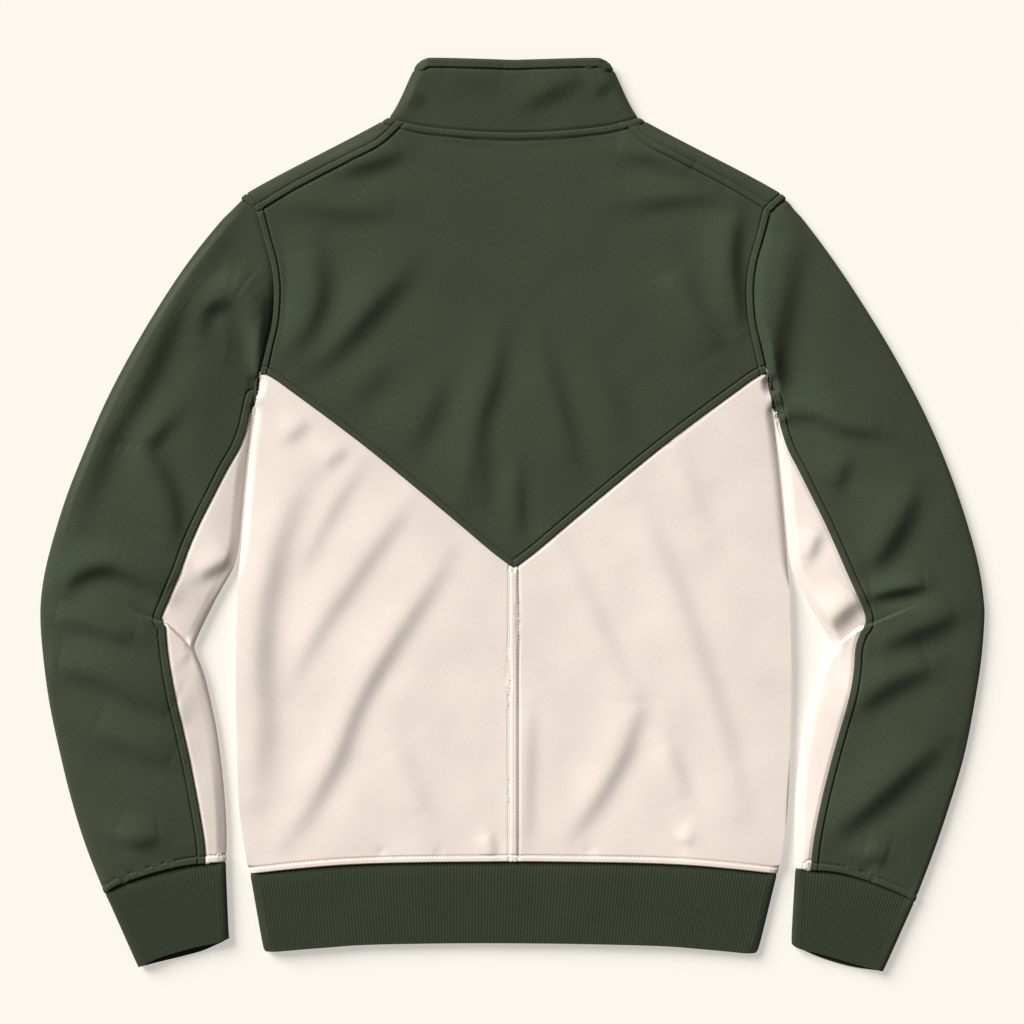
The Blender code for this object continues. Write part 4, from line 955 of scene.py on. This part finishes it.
print("folds on the back:", len(YOKE_FOLDS + LOWER_FOLDS), "sleeves:", len(LEFT_SLEEVE_FOLDS), len(RIGHT_SLEEVE_FOLDS))


# %% Shape of a fold
def ease(value, start, end):
    t = np.clip((value - start) / (end - start), 0, 1)
    return t * t * (3 - 2 * t)


def curve_through(points):
    """A smooth line through points that are given from the centre line, in the frame's own place."""
    path = np.array(points, float)
    guides = np.vstack([2 * path[0] - path[1], path, 2 * path[-1] - path[-2]])
    t = np.linspace(0, 1, CURVE_STEPS, endpoint=False)[:, None]
    pieces = []
    for before, start, end, after in zip(guides, guides[1:], guides[2:], guides[3:]):
        bend = (end - before) * t + (2 * before - 5 * start + 4 * end - after) * t**2
        pieces.append(start + 0.5 * (bend + (3 * start - before - 3 * end + after) * t**3))
    return np.vstack(pieces + [path[-1:]]) + (CENTRE_SHIFT, LENGTH_SHIFT)


def nearest_on(line, xy):
    """For each point: its distance from the line, how far to the line's left it is, and how far along, from 0 to 1."""
    steps, runs = steps_of(line)
    best, left, share = np.full(len(xy), np.inf), np.zeros(len(xy)), np.zeros(len(xy))
    for start, end, run, step in zip(line, line[1:], runs, steps):
        way, offset = (end - start) / max(step, 1e-9), xy - start
        t = np.clip(offset @ way, 0, step)
        gap = np.linalg.norm(offset - t[:, None] * way, axis=1)
        nearer = gap < best
        best[nearer], share[nearer] = gap[nearer], ((run + t) / runs[-1])[nearer]
        left[nearer] = (way[0] * offset[:, 1] - way[1] * offset[:, 0])[nearer]
    return best, left, share


def fold_profile(place):
    """The height across a fold: 0 at its foot, 1 near its crest. place counts steep widths, and is higher downhill."""
    steep = (1 - np.tanh(STEEPNESS * place)) / 2
    gentle = np.exp(-((np.maximum(-place - GENTLE_START, 0) / GENTLE_RUN) ** GENTLE_POWER))
    return steep * gentle - TROUGH * np.exp(-(((place - TROUGH_PLACE) / TROUGH_RUN) ** 2))


def past_ends(gap, left):
    """How far past a line's two ends each point is."""
    return np.sqrt(np.maximum(gap**2 - left**2, 0))


def flap_relief(xy, flaps):
    relief = np.zeros(len(xy))
    for points, rise, drop, fading_end in flaps:
        gap, left, share = nearest_on(curve_through(points), xy)
        high = ease(left, -FLAP_EDGE, FLAP_EDGE)
        flap = rise * high * np.exp(-np.maximum(left, 0) / FLAP_RUN)
        trough = drop * (1 - high) * np.exp(np.minimum(left, 0) / FLAP_TROUGH)
        from_end = 1 - share if fading_end else share
        ends = np.exp(-((past_ends(gap, left) / FLAP_TROUGH) ** 2))
        relief += (flap - trough) * ends * ease(from_end, 0, FLAP_FADE)
    return relief


def fold_relief(xy, folds, tucks):
    """A fold stands out with a steep and a gentle side, and a tuck is sunk by the same amount on both."""
    relief = np.zeros(len(xy))
    for number, (points, width, size) in enumerate(folds + tucks):
        line = curve_through(points)
        near = ((xy > line.min(0) - FOLD_REACH * width) & (xy < line.max(0) + FOLD_REACH * width)).all(1)
        gap, left, share = nearest_on(line, xy[near])
        size = size * np.clip(4 * share * (1 - share), FOLD_END, 1) ** END_POWER
        if number < len(folds):
            across = np.diff(line, axis=0) @ ((0, 1), (-1, 0))
            downhill = -np.sign((across @ LIGHT_SIDE).sum())
            ends = np.exp(-((past_ends(gap, left) / width) ** 2))
            relief[near] += size * fold_profile(downhill * left / width) * ends
        else:
            relief[near] -= size * np.exp(-((gap / width) ** TUCK_POWER))
    return relief


print("across a fold, from its gentle side:", [round(float(fold_profile(place)), 2) for place in range(-4, 3)])


# %% [markdown]
# ## Height of the upper layer
# The under layer lies flat on the surface. The upper one lies on it with a little air between, a sleeve fuller than
# the body. Close to a roll the cloth keeps the round edge of the CAD wall, and from there inwards it takes the height
# worked out here: a rest height that rises gently from the rolls, slow waves and the folds.

# %% Rest height and waves
BODY_HEIGHT, BAND_HEIGHT, COLLAR_HEIGHT = 8.0, 8.6, 8.4  # mm
COLLAR_RISE, NECK_LINE, RIM_LINE = 3.0, 320.0, 392.0  # mm, how much higher its rim is, and where the two lines are
BODY_RISE, BODY_RUN = 1.2, 20.0  # mm, how much higher the body is away from its rolls, and how far in from them
SLEEVE_RISE, SLEEVE_RUN = 5.0, 24.0  # mm, the same for a sleeve, which is fuller
ARMHOLE_RUN, CUFF_RUN = 55.0, 22.0  # mm over which a sleeve rises from the body and sinks to its cuff
BAND_STEP, BAND_STEP_RUN = 1.5, 9.0  # mm, how far a rib sinks below the strip at its seam
ARMHOLE_KEPT, ARMHOLE_FADE = 3.0, 9.0  # mm from an armhole, over which the folds fade into the seam
ROLL_KEPT, ROLL_LEFT = 2.0, 9.0  # mm from a roll, where the CAD's own round edge ends
LOWEST, SOFTNESS = 4.6, 2.5  # mm, where the upper layer would touch the under one, and how sharply it stops there
WAVES = ((0.55, 62, 3), (0.3, 27, 5))  # mm high, mm apart, and the seed of each
WAVE_CELLS, FIRST_CELL = 64, 20.0  # corners of the waves' grid each way, and the cell at the origin


def soft_waves(xy, size, seed):
    """Smooth hills and hollows from -1 to 1, about that far apart, the same on each run."""
    heights = np.random.default_rng(seed).uniform(-1, 1, (WAVE_CELLS, WAVE_CELLS))
    cell = xy / size + FIRST_CELL
    low = np.floor(cell).astype(int)
    t = cell - low
    t = t * t * (3 - 2 * t)
    (x, y), (u, v) = low.T % (WAVE_CELLS - 1), t.T
    return (heights[x, y] * (1 - u) + heights[x + 1, y] * u) * (1 - v) + (
        heights[x, y + 1] * (1 - u) + heights[x + 1, y + 1] * u
    ) * v


def region_of(node):
    for name in ("sleeve_left", "sleeve_right", "cuff", "hem", "collar"):
        if node.startswith(name):
            return name
    return "back"


print("a wave in the middle:", round(float(soft_waves(np.zeros((1, 2)), *WAVES[0][1:])[0]), 3))

# %% Where the height changes
FOLDS = {
    "back": YOKE_FOLDS + LOWER_FOLDS, "sleeve_left": LEFT_SLEEVE_FOLDS,
    "sleeve_right": RIGHT_SLEEVE_FOLDS, "collar": COLLAR_FOLDS,
}
TORSO = TOP_PANELS + FRONT_YOKES + ["front_lower"]
armhole_points = {side: seam_points(f"sleeve_{side}_main", TORSO) * FLAT for side in SIDES}
armholes = {side: tree_of(places) for side, places in armhole_points.items()}
armhole_tree = tree_of(np.vstack(list(armhole_points.values())))
band_seams = tree_of(
    np.vstack([seam_points(node, [other for other in sheets if other not in RIBBED]) for node in RIBBED]) * FLAT
)
cuff_seams = {
    side: tree_of(seam_points(f"cuff_{side}", [f"sleeve_{side}_main", f"sleeve_{side}_under"]) * FLAT)
    for side in SIDES
}
print("points along the armholes:", {side: len(places) for side, places in armhole_points.items()})


# %% Upper layer raised
def rest_height(points, inward, region):
    flat = points * FLAT
    if region in ("hem", "cuff"):
        return BAND_HEIGHT - BAND_STEP * (1 - ease(distances(flat, band_seams), 0, BAND_STEP_RUN))
    if region.startswith("sleeve"):
        side = region.split("_")[1]
        from_armhole = ease(distances(flat, armholes[side]), 0, ARMHOLE_RUN)
        from_cuff = ease(distances(flat, cuff_seams[side]), 0, CUFF_RUN)
        base = BAND_HEIGHT + (BODY_HEIGHT - BAND_HEIGHT) * from_cuff
        rise = BODY_RISE + (SLEEVE_RISE - BODY_RISE) * from_armhole * from_cuff
        return base + rise * (1 - np.exp(-inward / SLEEVE_RUN))
    if region == "collar":
        return COLLAR_HEIGHT + COLLAR_RISE * ease(points[:, 1], NECK_LINE, RIM_LINE)
    return BODY_HEIGHT + BODY_RISE * (1 - np.exp(-inward / BODY_RUN))


def raise_upper(node):
    """Gives the sheet's upper layer its height."""
    sheet, region = sheets[node], region_of(node)
    points = points_of(sheet)
    upper = np.nonzero(points[:, 2] > UPPER_BEGINS)[0]
    top = points[upper]
    xy = top[:, :2]
    inward = distances(top * FLAT, roll_tree)
    height = rest_height(top, inward, region)
    relief = fold_relief(xy, FOLDS.get(region, []), TUCKS.get(region, []))
    height += relief * ease(distances(top * FLAT, armhole_tree), -ARMHOLE_KEPT, ARMHOLE_FADE)
    height += flap_relief(xy, FLAPS.get(region, []))
    height += sum(high * soft_waves(xy, apart, seed) for high, apart, seed in WAVES)
    height = LOWEST + np.logaddexp(0, (height - LOWEST) * SOFTNESS) / SOFTNESS
    free = ease(inward, ROLL_KEPT, ROLL_LEFT)
    points[upper, 2] = top[:, 2] * (1 - free) + height * free
    set_points(sheet, points)


FLAP_FINE = (7.0, 3.5)  # mm from a flap's edge, where the mesh is made finer once and then once more
for node in SLEEVES:
    for points, *_ in FLAPS[region_of(node)]:
        line = curve_through(points)
        for reach in FLAP_FINE:
            refine(node, np.column_stack([line, np.full(len(line), BODY_HEIGHT)]), reach)
for node in sheets:
    if node != "front_lower":
        raise_upper(node)
print("highest, mm:", {node: round(points_of(sheet)[:, 2].max(), 1) for node, sheet in sheets.items()})


# %% [markdown]
# ### The strips stand up
# A strip is one layer of knit thicker, so it stands 0.9 mm above the cloth beside it, rounded at both sides. Its far
# side ends in the groove of the topstitching. On the under side of the garment, which lies flat, only the groove is
# made.

# %% Strips and grooves
STRIP_RISE, GROOVE_DEPTH, GROOVE_WIDTH, SEAM_TUCK = 0.9, 0.95, 0.8, 0.6  # mm
RIM_ROLL, RIM_REACH = 1.3, 3.0  # mm, how far the collar's free rim turns down
STRIP_EDGE, SEAM_SIDE, TUCK_RUN = 1.3, (-0.6, 1.1), 0.8  # mm, its far side, its side at the seam, and the dip there
STRIP_HEIGHTS, STRIP_FACING = (1.0, 4.0), (0.3, 0.8)  # mm, and a normal's upward part, between which strips fade in
LEAST_RUN, LEAST_ROW = 5.0, 12.0  # mm, the shortest stretch of seam and the shortest row of stitches
FAR = 99.0  # mm, the distance of what is on the other layer


def seam_runs(node, others):
    """The stretches of the node's edge along the others: marks on it, the way into the cloth and its normal."""
    points, normals = points_of(sheets[node]), robust_normals(sheets[node])
    return [
        edge_frame(points[numbers], normals[numbers])
        for numbers in seam_of(node, others)
        if length_of(points[numbers]) > LEAST_RUN
    ]


def strip_relief(gap, width, others):
    """How far the cloth stands out, and how far it is pulled in, at that distance from the seam."""
    raised = STRIP_RISE * (1 - ease(gap, width - STRIP_EDGE, width))
    sunk = GROOVE_DEPTH * np.exp(-(((gap - width) / GROOVE_WIDTH) ** 2))
    if others is None:
        return raised, sunk + RIM_ROLL * np.maximum(1 - gap / RIM_REACH, 0) ** 2
    if width == PRESSED:
        return raised, sunk
    return raised * ease(gap, *SEAM_SIDE), sunk + SEAM_TUCK * (1 - ease(gap, 0, TUCK_RUN))


def gap_to(seam, points):
    """How far each point is from the seam, seen from above, where both are on the same layer of the garment."""
    gap = np.full(len(points), FAR)
    upper, seam_upper, seam_lower = points[:, 2] > UPPER_BEGINS, seam[:, 2] > ROLL_FROM, seam[:, 2] < ROLL_TO
    for layer, near in ((upper, seam_upper), (~upper, seam_lower)):
        if layer.any() and near.any():
            gap[layer] = near_points(points[layer] * FLAT, seam[near] * FLAT)
    return gap


def add_strips(node):
    sheet = sheets[node]
    points, normals = points_of(sheet), robust_normals(sheet)
    raised, sunk = np.zeros(len(points)), np.zeros(len(points))
    for owner, others, width in STRIPS:
        if owner == node:
            gap = gap_to(seam_points(node, others), points)
            out, in_ = strip_relief(gap, width, others)
            raised, sunk = np.maximum(raised, out), np.maximum(sunk, in_)
    upper = ease(points[:, 2], *STRIP_HEIGHTS) * ease(normals[:, 2], *STRIP_FACING)
    set_points(sheet, points + normals * (raised * upper - sunk)[:, None])


read_edges()
ROWS = [
    (node, place + inward * width, width)
    for node, others, width in STRIPS
    for place, inward, _ in seam_runs(node, others)
    if length_of(place) > LEAST_ROW
]
laps = [(under, run) for under, over in UNDERLAPS for run in seam_runs(under, [over])]
for node in sheets:
    add_strips(node)
print("rows of stitches:", len(ROWS), "lapped stretches:", len(laps))

# %% Lapped edges
UNDER_SLIP, UNDER_DROP, UNDER_REACH = 1.2, 1.1, 2.8  # mm, how far a lapped edge slips under and sinks
ARMHOLE_DROP = 2.0  # mm, the same where a sleeve is set in


def slip_under(under, laps):
    """The sewn edge goes a little way under the edge of the piece that is sewn onto it."""
    place, inward, normal = (np.vstack(parts) for parts in zip(*laps))
    drop = ARMHOLE_DROP if "main" in under else UNDER_DROP
    sheet = sheets[under]
    points = points_of(sheet)
    tree = tree_of(place)
    found = [tree.find(point) for point in points]
    nearest = np.array([number for _, number, _ in found])
    share = 1 - ease(np.array([gap for _, _, gap in found]), EDGE_STEP / 2, UNDER_REACH)
    shift = inward[nearest] * UNDER_SLIP + normal[nearest] * drop
    set_points(sheet, points - shift * share[:, None])


for node in sheets:
    own = [run for under, run in laps if under == node]
    if own:
        slip_under(node, own)
whole = SLEEVES + ["collar"]
relaxed = {node: untangle(node, None if node in whole else armhole_tree) for node in sheets if node not in RIBBED}
print("folded edges relaxed:", relaxed)


# %% [markdown]
# The two lower back panels meet in the middle of a strip that is sewn down on both sides. There the seam itself is
# pressed flat and doesn't show, so the two edges are brought together.

# %% Centre-back seam closed
CENTRE_REACH, CENTRE_GAP = 0.6, 0.02  # mm


def close_centre(node, side):
    sheet = sheets[node]
    points = points_of(sheet)
    edge = np.concatenate(LOOPS[node])
    edge = edge[np.abs(points[edge, 0] - CENTRE_SHIFT) < CENTRE_REACH]
    points[edge, 0] = CENTRE_SHIFT + side * CENTRE_GAP
    set_points(sheet, points)
    return len(edge)


print("points moved to the centre:", [close_centre(node, side) for node, side in zip(LOWERS, (-1, 1))])


# %% [markdown]
# ## Walls
# Solidify gives each sheet the thickness of its knit, inwards, so the outer face stays where it is. The inner face and
# the flat under side don't need the fine mesh that the folds do, so Decimate thins them, and the outline stays.

# %% Thickness, ribs and materials
KNIT_THICKNESS, RIB_THICKNESS, COLLAR_THICKNESS = 1.6, 2.0, 2.2  # mm
RIB_HEIGHT = 0.32  # mm from valley to crest
HIDDEN_SHARE = 0.15  # of the hidden faces, after thinning
ON_FLOOR = 0.01  # mm
SHARP_ANGLE = 50.0  # degrees, from which an edge is shaded as a sharp one


def look_of(node):
    if node in RIBBED:
        return GREEN_RIB, "green_rib"
    if "lower" in node or "under" in node:
        return CREAM_KNIT, "cream_knit"
    return GREEN_KNIT, "green_knit"


def thin_hidden_faces(sheet, outer):
    """Thins the inner faces, whose points all come after the outer ones, and the outer faces that lie on the floor."""
    points = points_of(sheet)
    corners = [np.array(face.vertices[:]) for face in sheet.data.polygons]
    rim = set()
    for face in corners:
        if (face < outer).any() and (face >= outer).any():
            rim.update(face.tolist())
    inner = np.array([(face >= outer).all() and rim.isdisjoint(face.tolist()) for face in corners])
    lying = np.array([(points[face, 2] < ON_FLOOR).all() and rim.isdisjoint(face.tolist()) for face in corners])
    edit_faces(sheet, inner | lying)
    bpy.ops.mesh.decimate(ratio=HIDDEN_SHARE)
    bpy.ops.object.mode_set(mode="OBJECT")


def thicken(node, thickness):
    sheet = sheets[node]
    outer = len(sheet.data.vertices)
    plain = points_of(sheet, "normal")
    apply_modifier(sheet, "SOLIDIFY", thickness=thickness * MM, offset=-1)
    if node in RIBBED:
        points = points_of(sheet)
        points[:outer] += plain * (RIB_HEIGHT / 2 * np.sin(rib_phase(sheet)[:outer] * math.pi / 2))[:, None]
        set_points(sheet, points)
    set_points(sheet, np.maximum(points_of(sheet), (-np.inf, -np.inf, 0)))
    thin_hidden_faces(sheet, outer)
    material, slot = look_of(node)
    sheet.data.materials.append(material)
    select_only(sheet)
    bpy.ops.object.shade_smooth_by_angle(angle=math.radians(SHARP_ANGLE))
    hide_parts(node)
    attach(sheet, "garment")


print("thickness, mm:", KNIT_THICKNESS, RIB_THICKNESS, COLLAR_THICKNESS)

# %% Walls of all the pieces of cloth
read_edges()
OUTER = {}
for node, sheet in sheets.items():
    corners = [face.vertices[:] for face in sheet.data.polygons]
    OUTER[node] = BVHTree.FromPolygons(points_of(sheet).tolist(), corners)
for node in sheets:
    thicken(node, RIB_THICKNESS if node in RIBBED else COLLAR_THICKNESS if node == "collar" else KNIT_THICKNESS)
print("triangles:", {node: sum(len(f.vertices) - 2 for f in sheet.data.polygons) for node, sheet in sheets.items()})


# %% [markdown]
# ## Topstitching
# Each stitch is a short piece of thread that lies in the groove, its ends sunk into the cloth. One is modelled from a
# low sphere, stretched to a stitch's length, and its mesh is repeated along the line, turned with the seam and the
# cloth.

# %% One stitch
STITCH_PITCH, STITCH_LENGTH, THREAD_WIDTH, STITCH_STANDS = 3.2, 2.7, 0.6, 0.05  # mm
THREAD_FLAT = 0.8  # of its width, how high a stitch is
LINE_STEP, LINE_ROUNDS = 1.5, 3  # mm, and how often a row's line is smoothed
LEAST_STITCHES, STITCH_SEED, STITCH_WANDER = 3, 11, 0.03  # in a row, and how unevenly the stitches lie
OFF_CLOTH, FLOOR_CLEAR = 3.0, 0.02  # mm, a mark with no cloth near it, and what is left under a stitch
bpy.ops.object.select_all(action="DESELECT")
bpy.ops.mesh.primitive_uv_sphere_add(segments=6, ring_count=5, radius=0.5, rotation=(0, math.pi / 2, 0))
stitch = bpy.context.object
bpy.ops.object.transform_apply(location=False, rotation=True, scale=False)
STITCH_SIZE = (STITCH_LENGTH, THREAD_WIDTH, THREAD_WIDTH * THREAD_FLAT)
STITCH_POINTS = np.array([v.co[:] for v in stitch.data.vertices]) * STITCH_SIZE
STITCH_FACES = [face.vertices[:] for face in stitch.data.polygons]
bpy.data.objects.remove(stitch)
print("one stitch:", len(STITCH_POINTS), "points,", len(STITCH_FACES), "faces")


# %% Rows of stitches
def clear_marks(node, marks, width, taken):
    """The marks that are as far from the node's own edge as the row should be, and not on a stitch of another row."""
    gaps = near_points(marks, EDGES[node])
    free = gaps > width - STRIP_EDGE
    if taken:
        free &= near_points(marks, np.array(taken)) > STITCH_LENGTH
    return marks[free]


def sew(name, rows, material):
    """rows holds (node, line, width); one mesh with a stitch at each step of each line."""
    chance = np.random.default_rng(STITCH_SEED)
    points, faces, taken = [], [], []
    for node, line, width in rows:
        marks = evenly(smoothed(evenly(line, LINE_STEP), LINE_ROUNDS), STITCH_PITCH)
        if len(marks) >= LEAST_STITCHES:
            marks = clear_marks(node, marks, width, taken)
        if len(marks) < LEAST_STITCHES:
            continue
        taken += marks.tolist()
        ways = unit(np.gradient(marks, axis=0))
        for mark, way in zip(marks, ways):
            place, normal, _, gap = OUTER[node].find_nearest(mark)
            if place is None or gap > OFF_CLOTH:
                continue
            normal = np.array(normal)
            way = way - normal * (way @ normal) + chance.normal(0, STITCH_WANDER, 3)
            way /= np.linalg.norm(way)
            turn = np.stack([way, np.cross(normal, way), normal])
            first = len(points) * len(STITCH_POINTS)
            placed = STITCH_POINTS @ turn + np.array(place) + normal * STITCH_STANDS
            points.append(np.maximum(placed, (-np.inf, -np.inf, FLOOR_CLEAR)))
            faces += [[number + first for number in face] for face in STITCH_FACES]
    mesh = bpy.data.meshes.new(name)
    mesh.from_pydata((np.vstack(points) * MM).tolist(), [], faces)
    thread = bpy.data.objects.new(name, mesh)
    bpy.context.collection.objects.link(thread)
    mesh.materials.append(material)
    mesh.shade_smooth()
    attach(thread, "garment")
    print(f"{name}: {len(points)} stitches")


for name, thread, slot in (("green", GREEN_THREAD_AND_GROOVE_SHADE, "green_knit"), ("cream", CREAM_THREAD_AND_GROOVE_SHADE, "cream_knit")):
    sew("topstitching_" + name, [row for row in ROWS if look_of(row[0])[1] == slot], thread)


# %% [markdown]
# ## The zip
# The zip is on the under side, out of the picture. It keeps its CAD shapes and gets its materials.

# %% Zip
ZIP = {
    "zip_tape_left": ZIP_TAPE, "zip_tape_right": ZIP_TAPE, "zip_chain": ZIP_COIL,
    "zip_slider": ZIP_METAL, "pull_tab": ZIP_METAL,
}
for node, material in ZIP.items():
    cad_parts[node].data.materials.clear()
    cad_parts[node].data.materials.append(material)
print("zip:", ", ".join(ZIP))


# %% [markdown]
# ## Floor and light
# The floor is plain and pale, and glows a little like a light table, which keeps the shadows on it faint. A soft light
# low from the upper left shapes the folds, and the pale surroundings fill their shadows.

# %% Floor
FLOOR_SIZE, FLOOR_DROP = 8, 0.0002  # m
bpy.ops.mesh.primitive_plane_add(size=FLOOR_SIZE, location=(0, 0, -FLOOR_DROP))
floor = bpy.context.object
floor.name = "floor"
floor_material, _, floor_shader = new_material("matt pale paper")
PAPER = linear("#fbf7ee")
PAPER_SHARE = 0.5  # of its brightness that comes from the light on it; the rest is the light table's own glow
set_up(
    floor_shader, Base_Color=[PAPER_SHARE * value for value in PAPER[:3]] + [1.0], Emission_Color=PAPER,
    Emission_Strength=1 - PAPER_SHARE, Roughness=0.9, Specular_IOR_Level=0.1,
)
floor.data.materials.append(floor_material)
print("floor:", floor_material.name)

# %% Lights
SUN_POWER, SUN_SOFTNESS, SURROUNDINGS = 5.4, 34.0, 0.14  # W/m2, degrees across, strength
SUN_FROM = (-0.64, 0.57, 0.52)

bpy.ops.object.light_add(type="SUN", location=[2 * v for v in SUN_FROM])
sun = bpy.context.object
sun.name = "window_light"
sun.data.energy = SUN_POWER
sun.data.angle = math.radians(SUN_SOFTNESS)
sun.data.color = (1.0, 0.985, 0.96)
sun.rotation_euler = (-Vector(SUN_FROM)).to_track_quat("-Z", "Y").to_euler()
world = bpy.data.worlds.new("surroundings")
bpy.context.scene.world = world
world.use_nodes = True
set_up(world.node_tree.nodes["Background"], Color=(1.0, 0.985, 0.965, 1.0), Strength=SURROUNDINGS)
bpy.context.scene.view_settings.view_transform = "Standard"
print("sun:", SUN_POWER, "W/m2,", SUN_SOFTNESS, "degrees across; surroundings:", SURROUNDINGS)
